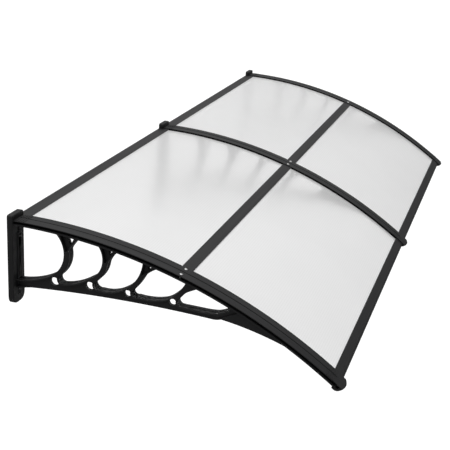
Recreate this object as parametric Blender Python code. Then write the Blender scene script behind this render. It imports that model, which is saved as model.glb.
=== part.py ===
"""Door canopy: two bays of milky polycarbonate sheet on three moulded wall brackets.

The wall is the plane Y = 0 and the roof reaches out towards -Y. The origin is on the back of the
middle wall plate, half way up. "Out" is a distance from the wall, "up" a height over the origin,
"along" a length on the roof's arc from the wall, and "rise" a height off the sheets' outer face.
"""

import math

import bmesh
import bpy
from mathutils import Matrix, Vector
from mathutils.geometry import tessellate_polygon

# The roof's arc, which is level where it meets the wall
ROOF_RADIUS = 1.3096
ROOF_TOP_UP = 0.0936
ROOF_LENGTH = 0.8473
FACET_ANGLE = math.radians(1.5)

# Clearances
SEAT_GAP = 0.0003
SHEET_EDGE_PLAY = 0.0010
BAR_END_PLAY = 0.0015
SCREW_HOLE_PLAY = 0.0003
CUTTER_MARGIN = 0.0050

# Sheets
SHEET_THICKNESS = 0.0040

# Brackets
BRACKET_SPACING = 0.9725
PLATE_WIDTH = 0.0550
PLATE_THICKNESS = 0.0142
PLATE_TOP_UP = 0.1090
PLATE_BOTTOM_UP = -0.1110
PLATE_TOP_ROUND = 0.0060
PLATE_TONGUE_ROUND = 0.0225
PLATE_EDGE = 0.0025
WALL_HOLE_RADIUS = 0.0032
WALL_HOLE_UPS = (0.0580, -0.0870)
FLANGE_WIDTH = 0.0480
FLANGE_THICKNESS = 0.0040
FLANGE_SETBACK = 0.0118
SPINE_WIDTH = 0.0070
SPINE_NOSE_LENGTH = 0.0105
PANEL_THICKNESS = 0.0110
PANEL_EDGE = 0.0014
WEB_STRIP = 0.0008
HOLLOW_TOP = -0.0016
RIM_WIDTH = 0.0280
RIM_THICKNESS = 0.0036
RIM_EDGE = 0.0013
RIM_END_OUT = 0.5250
RIM_END_LEVEL = 0.0140
JUNCTION_LEVELS = (0.0355, 0.0355, 0.0305, 0.0310)
ROOT_RIB_LENGTH = 0.0330
ROOT_RIB_THICKNESS = 0.0022
PLATE_RIB_WIDTH = 0.0160
PLATE_RIB_DEPTH = 0.0034
PLATE_RIB_EDGE = 0.0010
PLATE_RIB_TOP_UP = 0.0660
PLATE_RIB_BOTTOM_UP = -0.0560
WEB_END_OUT = 0.5020
WEB_TOE_RUN = 0.0280
WEB_TOE_RISE = 0.0120
WEB_TOE_BLEND = 0.0120
WEB_BURIED_RUN = 0.0560
LOWER_EDGE_SPANS = 10
UPPER_EDGE_SPANS = 18
HEEL_BLEND = 0.0140
LOWER_EDGE_RADIUS = 3.2600
LOWER_EDGE_CREST_OUT = 0.2612
LOWER_EDGE_CREST_UP = -0.0621

# The solid front wedge under the flange
WEDGE_WIDTH = 0.0400
WEDGE_EDGE = 0.0016
WEDGE_HEEL_OUT = 0.5095
WEDGE_HEEL_UP = -0.0598
WEDGE_BACK_OUT = 0.5580
WEDGE_END_ALONG = 0.7150
WEDGE_BOW = 0.0050
WEDGE_TOP_SPANS = 6

# Windows in the web. A corner is (out, level, blend, bow of the side that follows, outward positive).
# A positive level is a height over the web's lower edge, a negative one a depth under the flange.
WINDOWS = (
    (
        (PLATE_THICKNESS + SEAT_GAP, 0.0204, 0.0030, 0.0046),
        (0.0974, 0.0361, 0.0080, 0.0298),
        (0.1101, -WEB_STRIP, 0.0030, 0.0),
        (PLATE_THICKNESS + SEAT_GAP, -WEB_STRIP, 0.0040, 0.0),
    ),
    (
        (0.1210, 0.0366, 0.0030, 0.0065),
        (0.1338, 0.0204, 0.0030, 0.0041),
        (0.1970, 0.0433, 0.0080, 0.0223),
        (0.2145, -WEB_STRIP, 0.0030, 0.0),
        (0.1714, -WEB_STRIP, 0.0030, 0.0010),
        (0.1456, -0.0371, 0.0050, -0.0105),
    ),
    (
        (0.2082, 0.0340, 0.0030, 0.0064),
        (0.2242, 0.0180, 0.0030, 0.0050),
        (0.2815, 0.0307, 0.0080, 0.0112),
        (0.3257, -WEB_STRIP, 0.0040, 0.0),
        (0.2679, -WEB_STRIP, 0.0030, 0.0023),
        (0.2411, -0.0381, 0.0050, -0.0073),
    ),
    (
        (0.3000, 0.0263, 0.0030, 0.0045),
        (0.3133, 0.0175, 0.0030, 0.0042),
        (0.3841, 0.0259, 0.0080, 0.0052),
        (0.4295, -WEB_STRIP, 0.0080, 0.0),
        (0.3669, -WEB_STRIP, 0.0030, 0.0035),
        (0.3291, -0.0376, 0.0050, -0.0020),
    ),
    (
        (0.4094, 0.0276, 0.0030, 0.0036),
        (0.4185, 0.0152, 0.0030, 0.0),
        (0.4863, 0.0165, 0.0150, 0.0058),
        (0.5371, -WEB_STRIP, 0.0040, 0.0),
        (0.4614, -WEB_STRIP, 0.0030, 0.0005),
        (0.4286, -0.0275, 0.0060, 0.0),
    ),
)
STRUT_WINDOWS = (
    (
        (0.1478, -0.0250, 0.0030, 0.0),
        (0.1597, -WEB_STRIP, 0.0030, 0.0),
        (0.1382, -WEB_STRIP, 0.0030, 0.0),
    ),
    (
        (0.2454, -0.0208, 0.0030, 0.0),
        (0.2534, -WEB_STRIP, 0.0020, 0.0),
        (0.2391, -WEB_STRIP, 0.0020, 0.0),
    ),
    (
        (0.3378, -0.0177, 0.0030, 0.0),
        (0.3530, -WEB_STRIP, 0.0030, 0.0),
        (0.3341, -WEB_STRIP, 0.0030, 0.0),
    ),
)
# Hollows between the two branches at a strut's top, on both sides of the panel
FORK_HOLLOWS = (
    (
        (0.1400, -0.0420, 0.0030, 0.0),
        (0.1486, -0.0268, 0.0030, 0.0),
        (0.1610, HOLLOW_TOP, 0.0020, 0.0),
        (0.1250, HOLLOW_TOP, 0.0030, 0.0),
    ),
    (
        (0.2350, -0.0400, 0.0030, 0.0),
        (0.2462, -0.0225, 0.0030, 0.0),
        (0.2550, HOLLOW_TOP, 0.0020, 0.0),
        (0.2270, HOLLOW_TOP, 0.0030, 0.0),
    ),
    (
        (0.3235, -0.0350, 0.0030, 0.0),
        (0.3385, -0.0195, 0.0030, 0.0),
        (0.3550, HOLLOW_TOP, 0.0020, 0.0),
        (0.3310, HOLLOW_TOP, 0.0030, 0.0),
    ),
)
# Round windows: out, height over the lower edge, radius
ROUND_WINDOWS = (
    (0.1068, 0.0216, 0.0103),
    (0.1951, 0.0224, 0.0101),
    (0.2881, 0.0190, 0.0082),
    (0.3956, 0.0195, 0.0083),
)

# Cover strips
STRIP_WIDTH = 0.0480
STRIP_THICKNESS = 0.0019
STRIP_CROWN = 0.0010
STRIP_NOSE_SETBACK = 0.0014
STRIP_NOSE_RADIUS = 0.0125
STRIP_NOSE_WALL = 0.0036
STRIP_NOSE_FALL = 0.0066
STRIP_LIP_SETBACK = 0.0143
STRIP_LENGTH_SPANS = 22
STRIP_NOSE_STEPS = 7
STRIP_STATIONS = (-1, -0.86, -0.62, -0.3, 0, 0.3, 0.62, 0.86, 1)

# Bars
LIP_THICKNESS = 0.0009
WALL_BAR_WIDTH = 0.0330
WALL_BAR_FOOT = 0.0280
BAR_WALL = 0.0015
JOINING_BAR_ALONG = 0.4243
JOINING_BAR_WIDTH = 0.0275
JOINING_BAR_CHANNEL = 0.0064
FRONT_BAR_WIDTH = 0.0284
FRONT_BAR_FOOT = 0.0210
FRONT_BAR_NOSE = 0.0083
FRONT_BAR_NOSE_STEPS = 8

# Screws through the cover strips
SCREW_OFFSET = 0.0160
SCREW_RADIUS = 0.0020
SCREW_LENGTH = 0.0140
SCREW_TIP = 0.0030
SCREW_HEAD_RADIUS = 0.0041
SCREW_HEAD_HEIGHT = 0.0024
RECESS_WIDTH = 0.0010
RECESS_REACH = 0.0045
RECESS_DEPTH = 0.0013

# Places along the arc that follow the roof's length
FLANGE_END_ALONG = ROOF_LENGTH - FLANGE_SETBACK
STRIP_NOSE_ALONG = ROOF_LENGTH - STRIP_NOSE_SETBACK
STRIP_LIP_ALONG = ROOF_LENGTH - STRIP_LIP_SETBACK

# Heights off the sheets' outer face that more than one piece shares
LIP_TOP = SEAT_GAP + LIP_THICKNESS
STRIP_UNDERSIDE = LIP_TOP + SEAT_GAP
STRIP_EDGE_TOP = STRIP_UNDERSIDE + STRIP_THICKNESS
FLANGE_TOP = -SHEET_THICKNESS - SEAT_GAP
FLANGE_UNDERSIDE = FLANGE_TOP - FLANGE_THICKNESS
FOOT_TOP = -SHEET_THICKNESS - SEAT_GAP
FOOT_UNDERSIDE = FOOT_TOP - LIP_THICKNESS
NOSE_INNER_RADIUS = -FLANGE_UNDERSIDE + SEAT_GAP
HALF_BAY = BRACKET_SPACING / 2 - SPINE_WIDTH / 2 - BAR_END_PLAY


def clear_scene():
    for thing in list(bpy.data.objects):
        bpy.data.objects.remove(thing, do_unlink=True)


def material(name, colour, roughness, metallic=0.0, transmission=0.0):
    made = bpy.data.materials.new(name)
    made.use_nodes = True
    shader = made.node_tree.nodes["Principled BSDF"]
    shader.inputs["Base Color"].default_value = (*colour, 1.0)
    shader.inputs["Roughness"].default_value = roughness
    shader.inputs["Metallic"].default_value = metallic
    shader.inputs["Transmission Weight"].default_value = transmission
    made.diffuse_color = (*colour, 1.0)
    return made


def place_part(name, mesh, finish, x=0.0):
    """A sub-part's own object; its mesh may be shared."""
    part = bpy.data.objects.new(name, mesh)
    if not mesh.materials:
        mesh.materials.append(finish)
    part.location.x = x
    bpy.context.scene.collection.objects.link(part)
    return part


# Outlines


def roof(along, rise):
    """(out, up) of a point on the roof's arc."""
    reach = ROOF_RADIUS + rise
    angle = along / ROOF_RADIUS
    return reach * math.sin(angle), ROOF_TOP_UP - ROOF_RADIUS + reach * math.cos(angle)


def roof_height(out, rise):
    """Height of the arc at this rise, straight over or under a point at this distance from the wall."""
    reach = ROOF_RADIUS + rise
    return ROOF_TOP_UP - ROOF_RADIUS + math.sqrt(reach * reach - out * out)


def lower_edge(out):
    drop = LOWER_EDGE_RADIUS - math.sqrt(LOWER_EDGE_RADIUS**2 - (out - LOWER_EDGE_CREST_OUT) ** 2)
    return LOWER_EDGE_CREST_UP - drop


def facet_lines(start, end):
    """Places between start and end where the roof's facets meet."""
    step = FACET_ANGLE * ROOF_RADIUS
    low, high = sorted((start, end))
    lines = [step * k for k in range(math.ceil(low / step), math.floor(high / step) + 1)]
    lines = [line for line in lines if low + SEAT_GAP < line < high - SEAT_GAP]
    return lines if start < end else lines[::-1]


def roof_loop(corners):
    """Outline from (along, rise) corners, with a point wherever a side crosses a facet line.

    All pieces on the roof share the facet lines, so that their faces stay parallel.
    """
    loop = []
    for (start, first), (end, last) in zip(corners, corners[1:] + corners[:1]):
        loop.append(roof(start, first))
        for line in facet_lines(start, end):
            share = (line - start) / (end - start)
            loop.append(roof(line, first + share * (last - first)))
    return loop


def circle(out, up, radius, sides=16):
    turns = [2 * math.pi * k / sides for k in range(sides)]
    return [(out + radius * math.cos(turn), up + radius * math.sin(turn)) for turn in turns]


def bowed_side(start, end, bow, facet=math.radians(14)):
    """Points from start to end on an arc that stands out to the right of the line by the bow."""
    line = Vector(end) - Vector(start)
    chord = line.length
    if abs(bow) < chord / 1000:
        return [Vector(start), Vector(end)]
    half_angle = 2 * math.atan(2 * abs(bow) / chord)
    radius = chord / (2 * math.sin(half_angle))
    ahead = line.normalized()
    outward = Vector((ahead.y, -ahead.x)) * math.copysign(1.0, bow)
    centre = Vector(start) + line / 2 + outward * (abs(bow) - radius)
    steps = max(2, math.ceil(2 * half_angle / facet))
    turns = [half_angle * (2 * k / steps - 1) for k in range(steps + 1)]
    return [centre + radius * (outward * math.cos(t) + ahead * math.sin(t)) for t in turns]


def shortened(points, cut):
    """The polyline without the first stretch of this length."""
    points = list(points)
    while len(points) > 2 and (points[1] - points[0]).length <= cut:
        cut -= (points[1] - points[0]).length
        points.pop(0)
    if cut > 0:
        points[0] = points[0] + (points[1] - points[0]).normalized() * cut
    return points


def blended_loop(corners, blend_steps=3):
    """Outline of bowed sides whose corners are rounded. A corner is (out, up, blend, bow)."""
    sides = []
    for corner, after in zip(corners, corners[1:] + corners[:1]):
        side = bowed_side(corner[:2], after[:2], corner[3])
        side = shortened(side, corner[2])
        side = shortened(side[::-1], after[2])[::-1]
        sides.append(side)
    loop = []
    for corner, before, side in zip(corners, sides[-1:] + sides[:-1], sides):
        if corner[2] > 0:
            tip = Vector(corner[:2])
            for k in range(1, blend_steps):
                t = k / blend_steps
                start = before[-1].lerp(tip, t)
                loop.append(start.lerp(tip.lerp(side[0], t), t))
            loop.append(side[0])
        else:
            loop.append(side[0])
        loop.extend(side[1:])
    return tidy_loop([tuple(point) for point in loop])


def tidy_loop(loop, least=0.0002):
    """The outline without points that lie on top of the one before."""
    kept = []
    for point in loop:
        if not kept or math.dist(point, kept[-1]) > least:
            kept.append(point)
    while math.dist(kept[0], kept[-1]) <= least:
        kept.pop()
    return kept


def window_loop(corners):
    """A window's outline from its levels over the lower edge and under the flange."""
    placed = []
    for corner, after in zip(corners, corners[1:] + corners[:1]):
        out, level, blend, bow = corner
        if level > 0:
            up = lower_edge(out) + level
        else:
            up = roof_height(out, FLANGE_UNDERSIDE) + level
        if level == after[1] and level < 0:
            bow = (out - after[0]) ** 2 / (8 * ROOF_RADIUS)
        placed.append((out, up, blend, bow))
    return blended_loop(placed)


def signed_area(loop):
    pairs = zip(loop, loop[1:] + loop[:1])
    return sum(a[0] * b[1] - a[1] * b[0] for a, b in pairs) / 2


def inset_loop(loop, inset):
    """The loop with every side moved to its left, into the material."""
    if inset == 0:
        return loop
    moved = []
    for before, here, after in zip(loop[-1:] + loop[:-1], loop, loop[1:] + loop[:1]):
        arriving = (Vector(here) - Vector(before)).normalized()
        leaving = (Vector(after) - Vector(here)).normalized()
        across = Vector((-arriving.y - leaving.y, arriving.x + leaving.x))
        shift = across * (inset / (1 + arriving.dot(leaving)))
        moved.append((here[0] + shift.x, here[1] + shift.y))
    return moved


# Solids


def mesh_from(work, name):
    bmesh.ops.recalc_face_normals(work, faces=work.faces)
    mesh = bpy.data.meshes.new(name)
    work.to_mesh(mesh)
    work.free()
    return mesh


def sideways(out, up, x):
    """Places an outline of a bracket's plane; the depth is across the roof."""
    return Vector((x, -out, up))


def facing_wall(across, up, out):
    """Places an outline drawn on the wall; the depth is the distance from the wall."""
    return Vector((across, -out, up))


def over_lower_edge(across, out, over):
    """Places an outline seen from above; the depth is a height over the web's lower edge."""
    return Vector((across, -out, lower_edge(out) + over))


def filled(loops):
    """Triangles, as corner numbers, of the area inside the first loop and outside the others."""
    return tessellate_polygon([[Vector((a, b, 0.0)) for a, b in loop] for loop in loops])


def prism(name, loops, layers, place):
    """Closed solid from an outline and its holes, carried through layers of (depth, inset)."""
    outlines = []
    for number, loop in enumerate(loops):
        turned = (signed_area(loop) > 0) == (number == 0)
        outlines.append(list(loop) if turned else list(loop)[::-1])
    work = bmesh.new()
    rings = []
    for depth, inset in layers:
        flat = [inset_loop(loop, inset) for loop in outlines]
        rings.append([[work.verts.new(place(a, b, depth)) for a, b in loop] for loop in flat])
    for near, far in zip(rings, rings[1:]):
        for one, other in zip(near, far):
            for k in range(len(one)):
                after = (k + 1) % len(one)
                work.faces.new((one[k], one[after], other[after], other[k]))
    for ring, (_, inset) in ((rings[0], layers[0]), (rings[-1], layers[-1])):
        corners = [corner for loop in ring for corner in loop]
        for triangle in filled([inset_loop(loop, inset) for loop in outlines]):
            work.faces.new([corners[k] for k in triangle])
    return mesh_from(work, name)


def bevelled(half_depth, edge):
    """Layers of a solid with both its edges broken."""
    return [(-half_depth, edge), (edge - half_depth, 0), (half_depth - edge, 0), (half_depth, edge)]


def slab(name, loop, half_depth):
    return prism(name, [loop], [(-half_depth, 0), (half_depth, 0)], sideways)


def roof_sweep(name, section, start, end):
    """Closed solid from a section of (x, rise) points carried along the roof's arc."""
    work = bmesh.new()
    rings = []
    for along in [start, *facet_lines(start, end), end]:
        rings.append([work.verts.new(sideways(*roof(along, rise), x)) for x, rise in section])
    for one, other in zip(rings, rings[1:]):
        for k in range(len(one)):
            after = (k + 1) % len(one)
            work.faces.new((one[k], one[after], other[after], other[k]))
    for ring in (rings[0], rings[-1]):
        for triangle in filled([section]):
            work.faces.new([ring[k] for k in triangle])
    return mesh_from(work, name)


def box(name, low, high):
    work = bmesh.new()
    bmesh.ops.create_cube(work, size=1.0)
    for corner in work.verts:
        for axis in range(3):
            corner.co[axis] = high[axis] if corner.co[axis] > 0 else low[axis]
    return mesh_from(work, name)


def rod(name, radius, low, high, matrix, sides=12):
    """Round cutter along the local Z axis of the matrix."""
    work = bmesh.new()
    bmesh.ops.create_cone(
        work, cap_ends=True, segments=sides, radius1=radius, radius2=radius, depth=high - low
    )
    bmesh.ops.transform(
        work, matrix=matrix @ Matrix.Translation((0, 0, (low + high) / 2)), verts=work.verts
    )
    return mesh_from(work, name)


def shaped(mesh, steps):
    """The mesh after exact Boolean steps, each (operation, tool mesh)."""
    body = bpy.data.objects.new("body", mesh)
    bpy.context.scene.collection.objects.link(body)
    helpers = []
    for operation, tool in steps:
        helper = bpy.data.objects.new("tool", tool)
        helper.hide_render = True
        helper.display_type = "WIRE"
        bpy.context.scene.collection.objects.link(helper)
        helpers.append(helper)
        modifier = body.modifiers.new(operation.lower(), "BOOLEAN")
        modifier.operation = operation
        modifier.solver = "EXACT"
        modifier.object = helper
    graph = bpy.context.evaluated_depsgraph_get()
    result = bpy.data.meshes.new_from_object(body.evaluated_get(graph))
    result.name = mesh.name
    for thing in [body, *helpers]:
        bpy.data.objects.remove(thing, do_unlink=True)
    return result


# Screws, and the holes that they pass through


def screw_matrix(x, rise):
    """Stands on the roof's arc over the joining bar, with local Z straight out of the roof."""
    out, up = roof(JOINING_BAR_ALONG, rise)
    angle = JOINING_BAR_ALONG / ROOF_RADIUS
    return Matrix.Translation((x, -out, up)) @ Matrix.Rotation(angle, 4, "X")


def screw_hole(name, x):
    """Cutter that goes through strip, bar and flange at one screw."""
    return rod(name, SCREW_RADIUS + SCREW_HOLE_PLAY, -2 * SCREW_LENGTH, 2 * SCREW_LENGTH, screw_matrix(x, 0.0))


def strip_top(x):
    """Rise of a cover strip's upper face: a low roof shape with its ridge in the middle."""
    return STRIP_EDGE_TOP + STRIP_CROWN * (1 - abs(x) / (STRIP_WIDTH / 2))


def screw_seat():
    return strip_top(SCREW_OFFSET - SCREW_HEAD_RADIUS) + SEAT_GAP


def screw_mesh():
    head = [(0.0, 1.0), (0.45, 0.93), (0.8, 0.66), (0.97, 0.3), (1.0, 0.0)]
    profile = [(SCREW_HEAD_RADIUS * r, SCREW_HEAD_HEIGHT * h) for r, h in head]
    profile.append((SCREW_RADIUS, 0.0))
    profile.append((SCREW_RADIUS, SCREW_TIP - SCREW_LENGTH))
    profile.append((0.0, -SCREW_LENGTH))
    work = bmesh.new()
    chain = [work.verts.new((radius, 0, height)) for radius, height in profile]
    for one, other in zip(chain, chain[1:]):
        work.edges.new((one, other))
    bmesh.ops.spin(
        work,
        geom=work.verts[:] + work.edges[:],
        cent=(0, 0, 0),
        axis=(0, 0, 1),
        angle=2 * math.pi,
        steps=12,
        use_merge=True,
    )
    bmesh.ops.remove_doubles(work, verts=work.verts, dist=1e-6)
    body = mesh_from(work, "strip_screw")
    floor = SCREW_HEAD_HEIGHT - RECESS_DEPTH
    top = SCREW_HEAD_HEIGHT * 2
    reach = RECESS_REACH / 2
    width = RECESS_WIDTH / 2
    slots = [
        box("slot", (-reach, -width, floor), (reach, width, top)),
        box("slot", (-width, -reach, floor), (width, reach, top)),
    ]
    return shaped(body, [("DIFFERENCE", slot) for slot in slots])


# Brackets


def run_inside_flange(start_out, rise):
    """Points from here back to the wall plate at this rise, under the flange's upper face."""
    reach = PLATE_THICKNESS / 2 - start_out
    outs = [start_out + reach * k / UPPER_EDGE_SPANS for k in range(UPPER_EDGE_SPANS + 1)]
    return [(out, roof_height(out, rise)) for out in outs]


def web_loop():
    """Side view of the panel: a heel fillet at the plate, the lower edge, and a toe in the wedge."""
    front = PLATE_THICKNESS - SEAT_GAP
    buried = PLATE_THICKNESS / 2
    inside = FLANGE_TOP - SEAT_GAP
    heel = lower_edge(front)
    under = heel - HEEL_BLEND - PLATE_EDGE
    corners = [
        (buried, under, 0, 0),
        (front, under, 0, 0),
        (front, heel, HEEL_BLEND, 0),
    ]
    for k in range(1, LOWER_EDGE_SPANS):
        out = front + (WEB_END_OUT - front) * k / LOWER_EDGE_SPANS
        corners.append((out, lower_edge(out), 0, 0))
    toe_out = WEB_END_OUT + WEB_TOE_RUN
    corners.append((WEB_END_OUT, lower_edge(WEB_END_OUT), WEB_TOE_BLEND, 0))
    corners.append((toe_out, lower_edge(WEB_END_OUT) + WEB_TOE_RISE, 0, 0))
    end_out = toe_out + WEB_BURIED_RUN
    corners.append((end_out, roof_height(end_out, FLANGE_UNDERSIDE) - WEB_TOE_RISE, 0, 0))
    corners += [(out, up, 0, 0) for out, up in run_inside_flange(end_out, inside)]
    return blended_loop(corners)


def panel_mesh():
    """The web's thin middle, with all its windows."""
    loops = [web_loop()]
    loops += [window_loop(corners) for corners in WINDOWS + STRUT_WINDOWS]
    loops += [circle(out, lower_edge(out) + over, radius) for out, over, radius in ROUND_WINDOWS]
    return prism("bracket", loops, bevelled(PANEL_THICKNESS / 2, PANEL_EDGE), sideways)


def below(run, top):
    """The part of an outline's run that lies under this height over the lower edge, cut off there."""
    kept = []
    for start, end in zip(run, run[1:]):
        levels = [up - lower_edge(out) for out, up in (start, end)]
        if levels[0] < top:
            kept.append(start)
        if (levels[0] < top) != (levels[1] < top):
            share = (top - levels[0]) / (levels[1] - levels[0])
            kept.append(tuple(Vector(start).lerp(Vector(end), share)))
    return kept


def rim_loop():
    """Side view of the wide rims and struts: below, it follows the windows at the rims' thickness.

    Between two windows it is level, over the round window that lies there.
    """
    buried = PLATE_THICKNESS / 2
    lower = []
    levels = (WINDOWS[0][0][1], *JUNCTION_LEVELS, RIM_END_LEVEL)
    for number, corners in enumerate(WINDOWS):
        shell = inset_loop(window_loop(corners), -RIM_THICKNESS)
        lowest = min(range(len(shell)), key=lambda k: shell[k][1] - lower_edge(shell[k][0]))
        half = len(shell) // 2
        before = [shell[lowest - k] for k in range(half)]
        after = [shell[(lowest + k) % len(shell)] for k in range(half)]
        lower += below(before, levels[number])[::-1]
        lower += below(after, levels[number + 1])[1:]
    lower = [(buried, lower[0][1])] + [point for point in lower if point[0] > PLATE_THICKNESS]
    lower.append((RIM_END_OUT, lower_edge(RIM_END_OUT) + RIM_END_LEVEL))
    upper = run_inside_flange(RIM_END_OUT + WEB_BURIED_RUN, FLANGE_TOP - SEAT_GAP * 2)
    return tidy_loop(lower + upper)


def rims_mesh():
    loops = [rim_loop()]
    loops += [window_loop(corners) for corners in WINDOWS + FORK_HOLLOWS]
    return prism("rims", loops, bevelled(RIM_WIDTH / 2, RIM_EDGE), sideways)


def root_rib_mesh():
    """Low rib along the arm's lower edge, as wide as the rims at the plate and tapering out."""
    root = PLATE_THICKNESS / 2
    tip = PLATE_THICKNESS + ROOT_RIB_LENGTH
    high = RIM_WIDTH / 2
    low = PANEL_THICKNESS / 2 - SEAT_GAP
    corners = [(-high, root), (high, root), (high, PLATE_THICKNESS), (low, tip), (-low, tip)]
    corners.append((-high, PLATE_THICKNESS))
    layers = [(SEAT_GAP, 0), (SEAT_GAP + ROOT_RIB_THICKNESS, 0)]
    return prism("root_rib", [corners], layers, over_lower_edge)


def plate_rib_mesh():
    """Rib on the plate's front from the arm to the upper screw hole."""
    half = PLATE_RIB_WIDTH / 2
    corners = [
        (-half, PLATE_RIB_BOTTOM_UP, 0, 0),
        (half, PLATE_RIB_BOTTOM_UP, 0, 0),
        (half, PLATE_RIB_TOP_UP, half / 2, 0),
        (-half, PLATE_RIB_TOP_UP, half / 2, 0),
    ]
    front = PLATE_THICKNESS + PLATE_RIB_DEPTH
    layers = [(PLATE_THICKNESS / 2, 0), (front - PLATE_RIB_EDGE, 0), (front, PLATE_RIB_EDGE)]
    return prism("plate_rib", [blended_loop(corners)], layers, facing_wall)


def plate_mesh():
    """Wall plate: rounded shoulders at the top and a round tongue at the bottom."""
    half = PLATE_WIDTH / 2
    corners = [
        (-half, PLATE_BOTTOM_UP, PLATE_TONGUE_ROUND, 0),
        (half, PLATE_BOTTOM_UP, PLATE_TONGUE_ROUND, 0),
        (half, PLATE_TOP_UP, PLATE_TOP_ROUND, 0),
        (-half, PLATE_TOP_UP, PLATE_TOP_ROUND, 0),
    ]
    loop = blended_loop(corners, blend_steps=6)
    layers = [(0, 0), (PLATE_THICKNESS - PLATE_EDGE, 0), (PLATE_THICKNESS, PLATE_EDGE)]
    return prism("plate", [loop], layers, facing_wall)


def flange_mesh():
    """The ledge that carries the sheets, with the low wall between the two bays' sheets on it."""
    half = FLANGE_WIDTH / 2
    wall = SPINE_WIDTH / 2
    section = [(-half, FLANGE_UNDERSIDE), (half, FLANGE_UNDERSIDE), (half, FLANGE_TOP)]
    section += [(wall, FLANGE_TOP), (wall, LIP_TOP), (-wall, LIP_TOP)]
    section += [(-wall, FLANGE_TOP), (-half, FLANGE_TOP)]
    return roof_sweep("flange", section, PLATE_THICKNESS / 2, FLANGE_END_ALONG)


def spine_nose_mesh():
    """The low wall's end, which fills the cover strip's curled nose from behind."""
    low = FLANGE_UNDERSIDE + SEAT_GAP
    high = LIP_TOP - SEAT_GAP
    back = FLANGE_END_ALONG - SPINE_NOSE_LENGTH
    front = FLANGE_END_ALONG + SPINE_NOSE_LENGTH
    loop = roof_loop([(back, low), (front, low), (front, high), (back, high)])
    return slab("spine_nose", loop, SPINE_WIDTH / 2 - SEAT_GAP)


def wedge_mesh():
    """The solid front arm, wider than the web, which runs out into the flange."""
    middle = FLANGE_TOP - FLANGE_THICKNESS / 2
    end_out, end_up = roof(WEDGE_END_ALONG, middle)
    corners = [
        (WEDGE_HEEL_OUT, WEDGE_HEEL_UP, 0, -WEDGE_BOW),
        (end_out, end_up, 0, 0),
        (WEDGE_BACK_OUT, roof_height(WEDGE_BACK_OUT, middle), 0, 0),
    ]
    top = []
    for k in range(1, WEDGE_TOP_SPANS):
        out = end_out + (WEDGE_BACK_OUT - end_out) * k / WEDGE_TOP_SPANS
        top.append((out, roof_height(out, middle), 0, 0))
    loop = blended_loop(corners[:2] + top + corners[2:])
    return prism("wedge", [loop], bevelled(WEDGE_WIDTH / 2, WEDGE_EDGE), sideways)


def wall_hole(up):
    through = Matrix.Translation((0, 0, up)) @ Matrix.Rotation(math.pi / 2, 4, "X")
    return rod("wall_hole", WALL_HOLE_RADIUS, -PLATE_THICKNESS, PLATE_THICKNESS * 2, through)


def bracket_mesh():
    steps = [("UNION", tool) for tool in (rims_mesh(), plate_mesh(), plate_rib_mesh(), root_rib_mesh())]
    steps.append(("UNION", wedge_mesh()))
    steps += [("UNION", flange_mesh()), ("UNION", spine_nose_mesh())]
    steps += [("DIFFERENCE", wall_hole(up)) for up in WALL_HOLE_UPS]
    steps += [("DIFFERENCE", screw_hole("hole", x)) for x in (-SCREW_OFFSET, SCREW_OFFSET)]
    return shaped(panel_mesh(), steps)


# Cover strips


def strip_profile(x):
    """Side view of a cover strip at x: a thin arc whose front end curls under the flange."""
    back = PLATE_THICKNESS + SEAT_GAP
    fall = STRIP_NOSE_FALL * (abs(x) / (STRIP_WIDTH / 2)) ** 2
    centre = STRIP_NOSE_ALONG - fall
    top = strip_top(x)
    outer = STRIP_NOSE_RADIUS
    inner = NOSE_INNER_RADIUS
    spans = STRIP_LENGTH_SPANS
    upper = [back + (centre - back) * k / spans for k in range(spans + 1)]
    points = [(along, top) for along in upper]
    first = math.asin(top / outer)
    turns = STRIP_NOSE_STEPS
    for k in range(turns + 1):
        turn = first - (first + math.pi / 2) * k / turns
        points.append((centre + outer * math.cos(turn), outer * math.sin(turn)))
    points.append((STRIP_LIP_ALONG + STRIP_NOSE_WALL / 2, -outer))
    points.append((STRIP_LIP_ALONG, -outer + STRIP_NOSE_WALL / 2))
    points.append((STRIP_LIP_ALONG, -inner))
    first = math.asin(STRIP_UNDERSIDE / inner)
    for k in range(turns + 1):
        turn = -math.pi / 2 + (first + math.pi / 2) * k / turns
        points.append((centre + inner * math.cos(turn), inner * math.sin(turn)))
    points += [(along, STRIP_UNDERSIDE) for along in reversed(upper)]
    return [roof(along, rise) for along, rise in points]


def strip_mesh():
    half = STRIP_WIDTH / 2
    stations = [half * share for share in STRIP_STATIONS]
    work = bmesh.new()
    rings = [[work.verts.new(sideways(*p, x)) for p in strip_profile(x)] for x in stations]
    for one, other in zip(rings, rings[1:]):
        for k in range(len(one)):
            after = (k + 1) % len(one)
            work.faces.new((one[k], one[after], other[after], other[k]))
    for ring, x in ((rings[0], stations[0]), (rings[-1], stations[-1])):
        for triangle in filled([strip_profile(x)]):
            work.faces.new([ring[k] for k in triangle])
    body = mesh_from(work, "cover_strip")
    holes = [screw_hole("hole", x) for x in (-SCREW_OFFSET, SCREW_OFFSET)]
    return shaped(body, [("DIFFERENCE", hole) for hole in holes])


# Bars. Their ends are notched, so that only the lip and the wall go in over the flange.


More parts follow.
